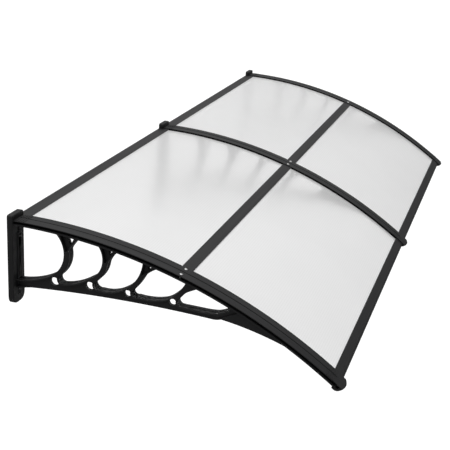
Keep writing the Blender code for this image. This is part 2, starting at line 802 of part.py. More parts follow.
def end_notches(back, front):
    """Cutters that clear a bar's ends of the two flanges and, at the wall, of the plates."""
    middle = BRACKET_SPACING / 2
    reach = FLANGE_WIDTH / 2 + SHEET_EDGE_PLAY
    plate_reach = PLATE_WIDTH / 2 + SEAT_GAP
    low = FLANGE_UNDERSIDE * 2
    notches = []
    for side in (-1, 1):
        corners = [(back - CUTTER_MARGIN, low), (front + CUTTER_MARGIN, low)]
        corners += [(along, -SHEET_THICKNESS) for along, _ in corners[::-1]]
        loop = roof_loop(corners)
        ends = sorted((side * (middle - reach), side * (middle + reach)))
        notches.append(prism("notch", [loop], [(ends[0], 0), (ends[1], 0)], sideways))
        if back > PLATE_THICKNESS:
            continue
        ends = sorted((side * (middle - plate_reach), side * (middle + plate_reach)))
        deep = -PLATE_THICKNESS - SEAT_GAP
        notches.append(box("notch", (ends[0], deep, 0), (ends[1], CUTTER_MARGIN, PLATE_TOP_UP)))
    return notches


def wall_bar_mesh():
    """Box against the wall with two lips that hold the sheet's rear edge."""
    wall = PLATE_THICKNESS + SEAT_GAP * 2
    outer = [(0.0, FOOT_UNDERSIDE), (WALL_BAR_FOOT, FOOT_UNDERSIDE), (WALL_BAR_FOOT, FOOT_TOP)]
    outer += [(wall + BAR_WALL, FOOT_TOP), (wall + BAR_WALL, SEAT_GAP)]
    outer += [(WALL_BAR_WIDTH, SEAT_GAP), (WALL_BAR_WIDTH, LIP_TOP), (0.0, LIP_TOP)]
    hollow = [(BAR_WALL, FOOT_TOP), (wall, FOOT_TOP), (wall, SEAT_GAP), (BAR_WALL, SEAT_GAP)]
    loops = [roof_loop(outer), roof_loop(hollow)]
    body = prism("wall_bar", loops, [(-HALF_BAY, 0), (HALF_BAY, 0)], sideways)
    notches = end_notches(0.0, WALL_BAR_WIDTH)
    return shaped(body, [("DIFFERENCE", notch) for notch in notches])


def joining_bar_mesh():
    """H section with a hollow middle, which takes the screws at its ends."""
    middle = JOINING_BAR_ALONG
    half = JOINING_BAR_WIDTH / 2
    hollow_half = JOINING_BAR_CHANNEL / 2
    wall = hollow_half + BAR_WALL
    outer = [(middle - half, FOOT_UNDERSIDE), (middle + half, FOOT_UNDERSIDE)]
    outer += [(middle + half, FOOT_TOP), (middle + wall, FOOT_TOP), (middle + wall, SEAT_GAP)]
    outer += [(middle + half, SEAT_GAP), (middle + half, LIP_TOP), (middle - half, LIP_TOP)]
    outer += [(middle - half, SEAT_GAP), (middle - wall, SEAT_GAP), (middle - wall, FOOT_TOP)]
    outer += [(middle - half, FOOT_TOP)]
    hollow = [(middle - hollow_half, FOOT_TOP), (middle + hollow_half, FOOT_TOP)]
    hollow += [(middle + hollow_half, SEAT_GAP), (middle - hollow_half, SEAT_GAP)]
    loops = [roof_loop(outer), roof_loop(hollow)]
    body = prism("joining_bar", loops, [(-HALF_BAY, 0), (HALF_BAY, 0)], sideways)
    tools = end_notches(middle - half, middle + half)
    inset = BRACKET_SPACING / 2 - SCREW_OFFSET
    tools += [screw_hole("hole", x) for x in (-inset, inset)]
    return shaped(body, [("DIFFERENCE", tool) for tool in tools])


def front_bar_mesh():
    """Channel on the sheet's front edge, with a rounded outer nose."""
    back = ROOF_LENGTH - FRONT_BAR_WIDTH
    foot = ROOF_LENGTH - FRONT_BAR_FOOT
    nose = ROOF_LENGTH - FRONT_BAR_NOSE
    inside = ROOF_LENGTH - FRONT_BAR_NOSE / 2
    centre = (LIP_TOP + FOOT_UNDERSIDE) / 2
    height = (LIP_TOP - FOOT_UNDERSIDE) / 2
    outer = [(foot, FOOT_TOP), (foot, FOOT_UNDERSIDE)]
    for k in range(FRONT_BAR_NOSE_STEPS + 1):
        turn = math.pi * (k / FRONT_BAR_NOSE_STEPS - 0.5)
        along = nose + FRONT_BAR_NOSE * math.cos(turn)
        outer.append((along, centre + height * math.sin(turn)))
    outer += [(back, LIP_TOP), (back, SEAT_GAP), (inside, SEAT_GAP), (inside, FOOT_TOP)]
    body = slab("front_bar", roof_loop(outer), HALF_BAY)
    notches = end_notches(back, ROOF_LENGTH)
    return shaped(body, [("DIFFERENCE", notch) for notch in notches])


# Sheets


def sheet_mesh(name, back, front):
    corners = [(back, -SHEET_THICKNESS), (front, -SHEET_THICKNESS), (front, 0.0), (back, 0.0)]
    return slab(name, roof_loop(corners), HALF_BAY)


def rear_sheet_mesh():
    back = PLATE_THICKNESS + SEAT_GAP * 2 + BAR_WALL + SHEET_EDGE_PLAY
    front = JOINING_BAR_ALONG - JOINING_BAR_CHANNEL / 2 - BAR_WALL - SHEET_EDGE_PLAY
    return sheet_mesh("rear_sheet", back, front)


def front_sheet_mesh():
    back = JOINING_BAR_ALONG + JOINING_BAR_CHANNEL / 2 + BAR_WALL + SHEET_EDGE_PLAY
    front = ROOF_LENGTH - FRONT_BAR_NOSE / 2 - SHEET_EDGE_PLAY
    return sheet_mesh("front_sheet", back, front)


# Assembly


def build():
    clear_scene()
    moulded = material("moulded_black_plastic", (0.018, 0.018, 0.019), 0.45)
    strip_black = material("strip_black_plastic", (0.030, 0.030, 0.031), 0.50)
    bar_black = material("bar_black_plastic", (0.034, 0.034, 0.035), 0.50)
    milky = material("milky_polycarbonate", (0.80, 0.81, 0.82), 0.35, transmission=0.6)
    zinc = material("zinc_plate", (0.75, 0.75, 0.74), 0.30, metallic=1.0)

    bracket = bracket_mesh()
    strip = strip_mesh()
    screw = screw_mesh()
    places = (("left", -BRACKET_SPACING), ("middle", 0.0), ("right", BRACKET_SPACING))
    for side, x in places:
        place_part(f"bracket_{side}", bracket, moulded, x)
        place_part(f"cover_strip_{side}", strip, strip_black, x)
        for end, offset in (("a", -SCREW_OFFSET), ("b", SCREW_OFFSET)):
            part = place_part(f"strip_screw_{side}_{end}", screw, zinc)
            part.matrix_world = screw_matrix(x + offset, screw_seat())

    bay_pieces = (
        ("wall_bar", wall_bar_mesh(), bar_black),
        ("joining_bar", joining_bar_mesh(), bar_black),
        ("front_bar", front_bar_mesh(), bar_black),
        ("rear_sheet", rear_sheet_mesh(), milky),
        ("front_sheet", front_sheet_mesh(), milky),
    )
    for side, x in (("left", -BRACKET_SPACING / 2), ("right", BRACKET_SPACING / 2)):
        for name, mesh, finish in bay_pieces:
            place_part(f"{name}_{side}", mesh, finish, x)


build()
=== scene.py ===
"""Door canopy: milky polycarbonate sheets on black moulded wall brackets, two bays wide.

The wall is the plane Y = 0 and the roof reaches out towards -Y. "Out" is a distance from the
wall, "up" a height, "along" a length on the roof's arc and "rise" a height off the sheets' face.
"""

import math

import bmesh
import bpy
from mathutils import Matrix, Quaternion, Vector


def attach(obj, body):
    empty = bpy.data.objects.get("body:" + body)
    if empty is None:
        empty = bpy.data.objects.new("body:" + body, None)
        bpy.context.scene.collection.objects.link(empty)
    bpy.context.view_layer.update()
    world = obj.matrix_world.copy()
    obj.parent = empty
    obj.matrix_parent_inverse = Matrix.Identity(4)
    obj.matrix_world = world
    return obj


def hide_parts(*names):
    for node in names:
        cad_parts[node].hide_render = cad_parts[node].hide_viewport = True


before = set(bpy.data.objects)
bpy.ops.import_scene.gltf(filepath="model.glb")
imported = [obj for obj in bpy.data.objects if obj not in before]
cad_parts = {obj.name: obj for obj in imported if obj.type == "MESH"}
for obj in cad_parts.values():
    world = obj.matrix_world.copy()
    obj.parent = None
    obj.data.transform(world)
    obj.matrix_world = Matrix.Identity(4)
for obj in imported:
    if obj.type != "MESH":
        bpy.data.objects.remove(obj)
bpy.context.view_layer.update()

# Wall brackets
# Each is one moulding in black plastic: a wall plate, an openwork web, a ledge that carries the
# sheets along the arc, and a solid arm at the front. It is screwed to the wall through its plate.

BAY = 0.9725
BRACKET_PLACES = (("left", -BAY), ("middle", 0.0), ("right", BAY))
ROOF_TOP = 0.0936
ROOF_RADIUS = 1.3096
ROOF_CENTRE = Vector((0.0, 0.0, ROOF_TOP - ROOF_RADIUS))

# Ledge under the sheets, and the low wall on it between the sheets of two bays
LEDGE_TOP = -0.0043
LEDGE_UNDERSIDE = -0.0083
LEDGE_HALF = 0.0240
LEDGE_CHAMFER = 0.0003
LEDGE_START = 0.0100
LEDGE_END = 0.8355
LEDGE_STEPS = 72
WALL_TOP = 0.0012
WALL_HALF = 0.0035
INTO_LEDGE = 0.0003

# Thin panel. Its lower edge is a wide arc from the heel at the plate to the toe, and from there
# its tail rises into the arm. A rounding is how far an edge goes in and how deep it reaches.
LOWER_EDGE_CREST = -0.0621
LOWER_EDGE_MIDDLE = 0.2612
LOWER_EDGE_RADIUS = 3.26
LOWER_EDGE_RUN = 0.488
LOWER_EDGE_STEPS = 40
PANEL_HALF = 0.0055
PANEL_ROUNDING = (0.0011, 0.0016)
PANEL_START = 0.0070
PANEL_INTO_PLATE = 0.0005
PANEL_TOP_STEPS = 60
HEEL_DROP = 0.0165
HEEL_ROUNDING = 0.0140
TOE = 0.5020
TOE_ROUNDING = 0.0120
TAIL = 0.5300
TAIL_RISE = 0.0120
TAIL_END = 0.5860
TAIL_HEIGHT = 0.0120

# Rims and struts round the windows, and a low rib on the lower edge beside the plate
RIM_HALF = 0.0140
RIM_ROUNDING = (0.0015, 0.0028)
RIM_THICKNESS = 0.0036
RIM_START = 0.0071
RIM_END = 0.5250
RIM_END_LEVEL = 0.0140
RIM_TAIL = 0.0560
RIM_TOP_STEPS = 80
JUNCTION_LEVELS = (0.0355, 0.0355, 0.0305, 0.0310)
LOW_RIB_END = 0.0472
LOW_RIB_TIP_HALF = 0.0052
LOW_RIB_UNDERSIDE = 0.0003
LOW_RIB_HEIGHT = 0.0022

# Arm. Its lower side bows from the foot to the end, where it meets the ledge.
ARM_HALF = 0.0200
ARM_ROUNDING = (0.0015, 0.0020)
ARM_FOOT = (0.5095, -0.0598)
ARM_BOW = -0.0050
ARM_END = 0.7150
ARM_END_THICKNESS = 0.0002
ARM_TOP_STEP = 0.0115
ARM_TOP_STEPS = 12
ARM_TOP_START = 0.5580

# Wall plate with a raised rib, and a ring round each screw hole. Corners are lower, then upper.
PLATE_HALF = 0.0275
PLATE_DEPTH = 0.0142
PLATE_ROUNDING = (0.0024, 0.0030)
PLATE_TOP = 0.1090
PLATE_BOTTOM = -0.1110
PLATE_CORNERS = (0.0225, 0.0060)
RIB_HALF = 0.0080
RIB_DEPTH = 0.0176
RIB_ROUNDING = (0.0016, 0.0026)
RIB_TOP = 0.0660
RIB_FOOT_OUT = 0.0200
RIB_FOOT_LEVEL = 0.0060
RIB_CORNERS = (0.0032, 0.0070)
RIB_BACK = 0.0120
HOLE_RADIUS = 0.0032
HOLE_SETBACK = 0.0004
UPPER_HOLE = 0.0580
LOWER_HOLE = -0.0870
RING_RADIUS = 0.0070
RING_HEIGHT = 0.0012
RING_ROUNDING = (0.0009, 0.0012)

# Windows in the web. A corner is (out, level, blend, bow of the side that follows, outward positive).
# A positive level is a height over the web's lower edge, a negative one a depth under the ledge.
# At the level 0 a window runs into the ledge, whose underside closes it.
IN_LEDGE = 0.0
BESIDE_PLATE = PLATE_DEPTH + 0.0003
WINDOWS = (
    (
        (BESIDE_PLATE, 0.0204, 0.0030, 0.0046),
        (0.0974, 0.0361, 0.0080, 0.0298),
        (0.1101, IN_LEDGE, 0.0030, 0.0),
        (BESIDE_PLATE, IN_LEDGE, 0.0040, 0.0),
    ),
    (
        (0.1210, 0.0366, 0.0030, 0.0065),
        (0.1338, 0.0204, 0.0030, 0.0041),
        (0.1970, 0.0433, 0.0080, 0.0223),
        (0.2145, IN_LEDGE, 0.0030, 0.0),
        (0.1714, IN_LEDGE, 0.0030, 0.0010),
        (0.1456, -0.0371, 0.0050, -0.0105),
    ),
    (
        (0.2082, 0.0340, 0.0030, 0.0064),
        (0.2242, 0.0180, 0.0030, 0.0050),
        (0.2815, 0.0307, 0.0080, 0.0112),
        (0.3257, IN_LEDGE, 0.0040, 0.0),
        (0.2679, IN_LEDGE, 0.0030, 0.0023),
        (0.2411, -0.0381, 0.0050, -0.0073),
    ),
    (
        (0.3000, 0.0263, 0.0030, 0.0045),
        (0.3133, 0.0175, 0.0030, 0.0042),
        (0.3841, 0.0259, 0.0080, 0.0052),
        (0.4295, IN_LEDGE, 0.0080, 0.0),
        (0.3669, IN_LEDGE, 0.0030, 0.0035),
        (0.3291, -0.0376, 0.0050, -0.0020),
    ),
    (
        (0.4094, 0.0276, 0.0030, 0.0036),
        (0.4185, 0.0152, 0.0030, 0.0),
        (0.4863, 0.0165, 0.0150, 0.0058),
        (0.5371, IN_LEDGE, 0.0040, 0.0),
        (0.4614, IN_LEDGE, 0.0030, 0.0005),
        (0.4286, -0.0275, 0.0060, 0.0),
    ),
)
STRUT_WINDOWS = (
    (
        (0.1478, -0.0250, 0.0030, 0.0),
        (0.1597, IN_LEDGE, 0.0030, 0.0),
        (0.1382, IN_LEDGE, 0.0030, 0.0),
    ),
    (
        (0.2454, -0.0208, 0.0030, 0.0),
        (0.2534, IN_LEDGE, 0.0020, 0.0),
        (0.2391, IN_LEDGE, 0.0020, 0.0),
    ),
    (
        (0.3378, -0.0177, 0.0030, 0.0),
        (0.3530, IN_LEDGE, 0.0030, 0.0),
        (0.3341, IN_LEDGE, 0.0030, 0.0),
    ),
)
# Hollows between the two branches at a strut's top, on both sides of the panel
FORK_HOLLOWS = (
    (
        (0.1400, -0.0420, 0.0030, 0.0),
        (0.1486, -0.0268, 0.0030, 0.0),
        (0.1610, IN_LEDGE, 0.0020, 0.0),
        (0.1250, IN_LEDGE, 0.0030, 0.0),
    ),
    (
        (0.2350, -0.0400, 0.0030, 0.0),
        (0.2462, -0.0225, 0.0030, 0.0),
        (0.2550, IN_LEDGE, 0.0020, 0.0),
        (0.2270, IN_LEDGE, 0.0030, 0.0),
    ),
    (
        (0.3235, -0.0350, 0.0030, 0.0),
        (0.3385, -0.0195, 0.0030, 0.0),
        (0.3550, IN_LEDGE, 0.0020, 0.0),
        (0.3310, IN_LEDGE, 0.0030, 0.0),
    ),
)
# Round windows: out, height over the lower edge, radius
ROUND_WINDOWS = (
    (0.1068, 0.0216, 0.0103),
    (0.1951, 0.0224, 0.0101),
    (0.2881, 0.0190, 0.0082),
    (0.3956, 0.0195, 0.0083),
)


def roof(along, rise):
    """(out, up) of a point on the roof's arc."""
    reach = ROOF_RADIUS + rise
    return reach * math.sin(along / ROOF_RADIUS), ROOF_CENTRE.z + reach * math.cos(along / ROOF_RADIUS)


def under_ledge(out, rise=LEDGE_UNDERSIDE):
    """Height of the ledge's underside, or of another rise, at this distance from the wall."""
    return ROOF_CENTRE.z + math.sqrt((ROOF_RADIUS + rise) ** 2 - out**2)


def lower_edge(out):
    """Height of the panel's lower edge."""
    reach = math.sqrt(LOWER_EDGE_RADIUS**2 - (out - LOWER_EDGE_MIDDLE) ** 2)
    return LOWER_EDGE_CREST - LOWER_EDGE_RADIUS + reach


ARC_STEP = 0.0030


def arc(start, end, bow):
    """Points of a side that bows out to the right of its line, or its ends where it is straight."""
    start, end = Vector(start), Vector(end)
    line = end - start
    if abs(bow) < line.length / 1000:
        return [start, end]
    half_turn = 2 * math.atan(2 * abs(bow) / line.length)
    radius = line.length / (2 * math.sin(half_turn))
    ahead = line.normalized()
    outward = Vector((ahead.y, -ahead.x)) * math.copysign(1.0, bow)
    centre = start + line / 2 + outward * (abs(bow) - radius)
    steps = max(4, math.ceil(2 * half_turn * radius / ARC_STEP))
    turns = [half_turn * (2 * k / steps - 1) for k in range(steps + 1)]
    return [centre + radius * (outward * math.cos(t) + ahead * math.sin(t)) for t in turns]


def cut_back(points, length):
    """The side without its first stretch, which a rounded corner takes."""
    points = list(points)
    while len(points) > 2 and (points[1] - points[0]).length <= length:
        length -= (points[1] - points[0]).length
        points.pop(0)
    points[0] = points[0].lerp(points[1], min(0.9, length / (points[1] - points[0]).length))
    return points


SAME_POINT = 1e-5


def outline(corners, steps=6):
    """Closed outline of bowed sides with rounded corners, each corner (out, up, rounding, bow)."""
    sides = []
    for corner, after in zip(corners, corners[1:] + corners[:1]):
        side = cut_back(arc(corner[:2], after[:2], corner[3]), corner[2])
        sides.append(cut_back(side[::-1], after[2])[::-1])
    loop = []
    for corner, before, side in zip(corners, sides[-1:] + sides[:-1], sides):
        tip = Vector(corner[:2])
        if corner[2] > 0:
            for k in range(1, steps):
                t = k / steps
                loop.append(before[-1].lerp(tip, t).lerp(tip.lerp(side[0], t), t))
        loop.extend(side)
    kept = [p for p, last in zip(loop, loop[-1:] + loop[:-1]) if (p - last).length > SAME_POINT]
    return [tuple(p) for p in kept]


def window(corners):
    """Outline of a window, whose side in the ledge follows the arc."""
    placed = []
    for corner, after in zip(corners, corners[1:] + corners[:1]):
        out, level, rounding, bow = corner
        up = lower_edge(out) + level if level > 0 else under_ledge(out) + (level or INTO_LEDGE)
        if level == after[1] == IN_LEDGE:
            bow = (out - after[0]) ** 2 / (8 * ROOF_RADIUS)
        placed.append((out, up, rounding, bow))
    return outline(placed)


def thickened(loop, distance):
    """A window's outline moved out into the material around it."""
    points = [Vector(p) for p in loop]
    moved = []
    for before, here, after in zip(points[-1:] + points[:-1], points, points[1:] + points[:1]):
        arriving, leaving = (here - before).normalized(), (after - here).normalized()
        across = Vector((arriving.y + leaving.y, -arriving.x - leaving.x))
        moved.append(here + across * distance / (1 + arriving.dot(leaving)))
    return moved


def below(run, top):
    """The part of a run that lies under this height over the lower edge, cut off there."""
    kept = []
    for start, end in zip(run, run[1:]):
        levels = [p.y - lower_edge(p.x) for p in (start, end)]
        if levels[0] < top:
            kept.append(start)
        if (levels[0] < top) != (levels[1] < top):
            kept.append(start.lerp(end, (top - levels[0]) / (levels[1] - levels[0])))
    return kept


SHORTEST_RIM_SIDE = 0.0003


def rim_outline():
    """Side view of rims and struts: below it follows the windows, and it is level between them."""
    lower = []
    levels = (WINDOWS[0][0][1], *JUNCTION_LEVELS, RIM_END_LEVEL)
    for number, corners in enumerate(WINDOWS):
        shell = thickened(window(corners), RIM_THICKNESS)
        lowest = min(range(len(shell)), key=lambda k: shell[k].y - lower_edge(shell[k].x))
        half = len(shell) // 2
        before = [shell[lowest - k] for k in range(half)]
        after = [shell[(lowest + k) % len(shell)] for k in range(half)]
        lower += below(before, levels[number])[::-1]
        lower += below(after, levels[number + 1])[1:]
    lower = [Vector((RIM_START, lower[0].y))] + [p for p in lower if p.x > PLATE_DEPTH]
    lower.append(Vector((RIM_END, lower_edge(RIM_END) + RIM_END_LEVEL)))
    far = RIM_END + RIM_TAIL
    tops = [far + (RIM_START - far) * k / RIM_TOP_STEPS for k in range(RIM_TOP_STEPS + 1)]
    loop = lower + [Vector((out, under_ledge(out, LEDGE_TOP - 2 * INTO_LEDGE))) for out in tops]
    kept = [p for p, last in zip(loop, loop[-1:] + loop[:-1]) if (p - last).length > SHORTEST_RIM_SIDE]
    return [tuple(p) for p in kept]


def wire(mesh, points):
    """Closed wire through these points."""
    corners = [mesh.verts.new(p) for p in points]
    for one, other in zip(corners, corners[1:] + corners[:1]):
        mesh.edges.new((one, other))
    return corners


def edges_of(corners):
    return list({edge for corner in corners for edge in corner.link_edges})


def extruded(mesh, faces, vector):
    """Draws the faces out by this vector and gives the moved faces."""
    made = bmesh.ops.extrude_face_region(mesh, geom=faces)["geom"]
    corners = [g for g in made if isinstance(g, bmesh.types.BMVert)]
    bmesh.ops.translate(mesh, verts=corners, vec=vector)
    return [g for g in made if isinstance(g, bmesh.types.BMFace)]


EDGE_STEPS = 4


def thick_plate(mesh, loops, place, depths, rounding, normal):
    """Plate with its holes from closed outlines: filled, drawn out, and its front edge rounded.

    place turns an outline's point into a point in space, and depths are the distances of the
    back and the front along the normal. It gives the faces of the back.
    """
    corners = [v for loop in loops for v in wire(mesh, [place(*p) for p in loop])]
    filled = bmesh.ops.triangle_fill(mesh, use_beauty=True, edges=edges_of(corners))["geom"]
    back = [g for g in filled if isinstance(g, bmesh.types.BMFace)]
    if sum((f.normal * f.calc_area() for f in back), Vector()).dot(normal) < 0:
        bmesh.ops.reverse_faces(mesh, faces=back)
    inward, deep = rounding
    front = extruded(mesh, back, normal * (depths[1] - deep))
    bmesh.ops.translate(mesh, verts=corners, vec=normal * depths[0])
    for k in range(EDGE_STEPS):
        turns = [math.pi / 2 * (k + n) / EDGE_STEPS for n in (0, 1)]
        bmesh.ops.inset_region(
            mesh,
            faces=front,
            thickness=inward * (math.cos(turns[0]) - math.cos(turns[1])),
            use_boundary=True,
            use_even_offset=True,
        )
        raised = list({v for f in front for v in f.verts})
        step = deep * (math.sin(turns[1]) - math.sin(turns[0]))
        bmesh.ops.translate(mesh, verts=raised, vec=normal * step)
    return back


def in_side_view(out, up):
    return Vector((0.0, -out, up))


def on_wall(across, up):
    return Vector((across, 0.0, up))


def circle(a, b, radius, sides=32):
    turns = [2 * math.pi * k / sides for k in range(sides)]
    return [(a + radius * math.cos(t), b + radius * math.sin(t)) for t in turns]


SAME_PLACE = 1e-6


def both_sides(mesh, back):
    """Takes away the faces in the middle plane and mirrors the half that is left."""
    bmesh.ops.delete(mesh, geom=back, context="FACES_ONLY")
    geometry = mesh.verts[:] + mesh.edges[:] + mesh.faces[:]
    bmesh.ops.mirror(mesh, geom=geometry, matrix=Matrix(), merge_dist=SAME_PLACE, axis="X")


def swept(mesh, section, start, end, steps):
    """Bar of this (x, rise) section along the roof's arc."""
    corners = wire(mesh, [Vector((x, 0.0, ROOF_CENTRE.z + ROOF_RADIUS + rise)) for x, rise in section])
    turn = Matrix.Rotation(start / ROOF_RADIUS, 3, "X")
    bmesh.ops.rotate(mesh, verts=corners, cent=ROOF_CENTRE, matrix=turn)
    ends = edges_of(corners)
    made = bmesh.ops.spin(
        mesh,
        geom=corners + ends,
        cent=ROOF_CENTRE,
        axis=(1, 0, 0),
        angle=(end - start) / ROOF_RADIUS,
        steps=steps,
    )
    last = [g for g in made["geom_last"] if isinstance(g, bmesh.types.BMEdge)]
    bmesh.ops.edgeloop_fill(mesh, edges=ends)
    bmesh.ops.edgeloop_fill(mesh, edges=last)


def face_outwards(mesh):
    """Turns each closed body's faces outwards: one whose volume comes out negative is reversed."""
    bmesh.ops.recalc_face_normals(mesh, faces=mesh.faces)
    left = set(mesh.faces)
    while left:
        body, found = [], [left.pop()]
        while found:
            face = found.pop()
            body.append(face)
            beside = {other for edge in face.edges for other in edge.link_faces} & left
            left -= beside
            found.extend(beside)
        start = body[0].verts[0].co
        if sum(f.calc_area() * f.normal.dot(f.calc_center_median() - start) for f in body) < 0:
            bmesh.ops.reverse_faces(mesh, faces=body)


SHARP = math.radians(32)


def piece(name, mesh, x, material, nodes):
    """Object that stands for CAD nodes, its mesh moved to x, and its edges smooth unless sharp."""
    bmesh.ops.remove_doubles(mesh, verts=mesh.verts, dist=SAME_PLACE)
    face_outwards(mesh)
    for face in mesh.faces:
        face.smooth = True
    for edge in mesh.edges:
        edge.smooth = edge.calc_face_angle(0.0) < SHARP
    data = bpy.data.meshes.new(name)
    mesh.to_mesh(data)
    data.transform(Matrix.Translation((x, 0, 0)))
    data.materials.append(material)
    made = bpy.data.objects.new(name, data)
    bpy.context.scene.collection.objects.link(made)
    weighted = made.modifiers.new("face_weights", "WEIGHTED_NORMAL")
    weighted.keep_sharp = True
    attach(made, "root")
    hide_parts(*nodes)


def node_material(name, **constants):
    """A new material with its nodes, links and shader, whose own sockets take the constants."""
    made = bpy.data.materials.new(name)
    made.use_nodes = True
    nodes, links = made.node_tree.nodes, made.node_tree.links
    shader = nodes["Principled BSDF"]
    for socket, value in constants.items():
        shader.inputs[socket.replace("_", " ")].default_value = value
    return made, nodes, links, shader


def noise(nodes, links, coordinates, scale, stretch=(1, 1, 1), detail=4.0, roughness=0.55):
    """Noise over the object's own coordinates; a stretch below 1 draws it out along that axis."""
    mapping = nodes.new("ShaderNodeMapping")
    mapping.inputs["Scale"].default_value = stretch
    links.new(coordinates, mapping.inputs["Vector"])
    made = nodes.new("ShaderNodeTexNoise")
    made.inputs["Scale"].default_value = scale
    made.inputs["Detail"].default_value = detail
    made.inputs["Roughness"].default_value = roughness
    links.new(mapping.outputs["Vector"], made.inputs["Vector"])
    return made.outputs["Fac"]


def ramp(nodes, links, factor, stops):
    """Colour ramp; a stop is (place, colour)."""
    made = nodes.new("ShaderNodeValToRGB")
    for element, (place, colour) in zip(made.color_ramp.elements, (stops[0], stops[-1])):
        element.position = place
        element.color = (*colour, 1.0)
    for place, colour in stops[1:-1]:
        made.color_ramp.elements.new(place).color = (*colour, 1.0)
    links.new(factor, made.inputs["Fac"])
    return made.outputs["Color"]


# Nearly all of a noise's values lie between these
NOISE_LOW, NOISE_HIGH = 0.3, 0.7


def spread(nodes, links, factor, low, high):
    """A noise carried to the range from low to high."""
    made = nodes.new("ShaderNodeMapRange")
    ends = (("From Min", NOISE_LOW), ("From Max", NOISE_HIGH), ("To Min", low), ("To Max", high))
    for socket, value in ends:
        made.inputs[socket].default_value = value
    links.new(factor, made.inputs["Value"])
    return made.outputs["Result"]


def bump(nodes, links, height, strength, distance):
    made = nodes.new("ShaderNodeBump")
    made.inputs["Strength"].default_value = strength
    made.inputs["Distance"].default_value = distance
    links.new(height, made.inputs["Height"])
    return made.outputs["Normal"]


CLOUDS = 9.0
GLOSS_PATCHES = 60.0
GRAIN_STRENGTH = 0.35
GRAIN_DEPTH = 0.00015


def black_plastic(name, dark, light, roughness, grain, grain_stretch=(1, 1, 1)):
    """Black plastic: faint cloudy colour, uneven gloss, and a fine grain in the surface."""
    made, nodes, links, shader = node_material(name, Specular_IOR_Level=0.30)
    where = nodes.new("ShaderNodeTexCoord").outputs["Object"]
    clouds = noise(nodes, links, where, CLOUDS)
    colour = ramp(nodes, links, clouds, [(NOISE_LOW, dark), (NOISE_HIGH, light)])
    links.new(colour, shader.inputs["Base Color"])
    patches = noise(nodes, links, where, GLOSS_PATCHES, grain_stretch)
    links.new(spread(nodes, links, patches, *roughness), shader.inputs["Roughness"])
    fine = noise(nodes, links, where, grain, grain_stretch, detail=2.0)
    links.new(bump(nodes, links, fine, GRAIN_STRENGTH, GRAIN_DEPTH), shader.inputs["Normal"])
    return made


moulded_plastic = black_plastic(
    "moulded_black_plastic",
    dark=(0.010, 0.010, 0.011),
    light=(0.016, 0.016, 0.017),
    roughness=(0.42, 0.58),
    grain=1400.0,
)


def panel_outline():
    corner = PLATE_DEPTH - PANEL_INTO_PLATE
    heel = lower_edge(corner) - HEEL_DROP
    corners = [(PANEL_START, heel, 0, 0), (corner, heel, 0, 0)]
    corners.append((corner, lower_edge(corner), HEEL_ROUNDING, 0))
    edge = [corner + LOWER_EDGE_RUN * k / LOWER_EDGE_STEPS for k in range(2, LOWER_EDGE_STEPS)]
    corners += [(out, lower_edge(out), 0, 0) for out in edge]
    corners.append((TOE, lower_edge(TOE), TOE_ROUNDING, 0))
    corners.append((TAIL, lower_edge(TOE) + TAIL_RISE, 0, 0))
    corners.append((TAIL_END, under_ledge(TAIL_END) - TAIL_HEIGHT, 0, 0))
    length = TAIL_END - PANEL_START
    tops = [TAIL_END - length * k / PANEL_TOP_STEPS for k in range(PANEL_TOP_STEPS + 1)]
    corners += [(out, under_ledge(out, LEDGE_TOP - INTO_LEDGE), 0, 0) for out in tops]
    return outline(corners)


def arm_outline():
    top = LEDGE_TOP - INTO_LEDGE
    corners = [(*ARM_FOOT, 0, ARM_BOW), (*roof(ARM_END, LEDGE_UNDERSIDE + ARM_END_THICKNESS), 0, 0)]
    corners += [(*roof(ARM_END - ARM_TOP_STEP * k, top), 0, 0) for k in range(ARM_TOP_STEPS)]
    corners.append((ARM_TOP_START, under_ledge(ARM_TOP_START, top), 0, 0))
    return outline(corners)


def low_rib(mesh):
    """Rib on the lower edge, as wide as the rims at the plate and narrower out from it."""
    corners = [(-RIM_HALF, RIM_START), (RIM_HALF, RIM_START), (RIM_HALF, PLATE_DEPTH)]
    corners += [(LOW_RIB_TIP_HALF, LOW_RIB_END), (-LOW_RIB_TIP_HALF, LOW_RIB_END), (-RIM_HALF, PLATE_DEPTH)]
    base = wire(mesh, [Vector((x, -out, lower_edge(out) + LOW_RIB_UNDERSIDE)) for x, out in corners])
    bmesh.ops.edgeloop_fill(mesh, edges=edges_of(base))
    flat = list({f for v in base for f in v.link_faces})
    extruded(mesh, flat, (0, 0, LOW_RIB_HEIGHT))


def upright(half, bottom, top, corners, steps=6):
    """Front view of the plate or its rib, with its lower and upper corners rounded."""
    lower, upper = corners
    rounded = [(-half, bottom, lower, 0), (half, bottom, lower, 0)]
    rounded += [(half, top, upper, 0), (-half, top, upper, 0)]
    return outline(rounded, steps)


def wall_plate(mesh):
    """The plate, its rib and the rings, whose holes are a little narrower than those behind."""
    outwards = Vector((0, -1, 0))
    plate = upright(PLATE_HALF, PLATE_BOTTOM, PLATE_TOP, PLATE_CORNERS, steps=12)
    holes = [circle(0, up, HOLE_RADIUS + HOLE_SETBACK) for up in (UPPER_HOLE, LOWER_HOLE)]
    thick_plate(mesh, [plate, *holes], on_wall, (0, PLATE_DEPTH), PLATE_ROUNDING, outwards)
    rib = upright(RIB_HALF, lower_edge(RIB_FOOT_OUT) + RIB_FOOT_LEVEL, RIB_TOP, RIB_CORNERS)
    rib_hole = circle(0, UPPER_HOLE, HOLE_RADIUS + 2 * HOLE_SETBACK)
    thick_plate(mesh, [rib, rib_hole], on_wall, (RIB_BACK, RIB_DEPTH), RIB_ROUNDING, outwards)
    for up, under in ((UPPER_HOLE, RIB_DEPTH), (LOWER_HOLE, PLATE_DEPTH)):
        ring = [circle(0, up, RING_RADIUS), circle(0, up, HOLE_RADIUS)]
        thick_plate(mesh, ring, on_wall, (RIB_BACK, under + RING_HEIGHT), RING_ROUNDING, outwards)


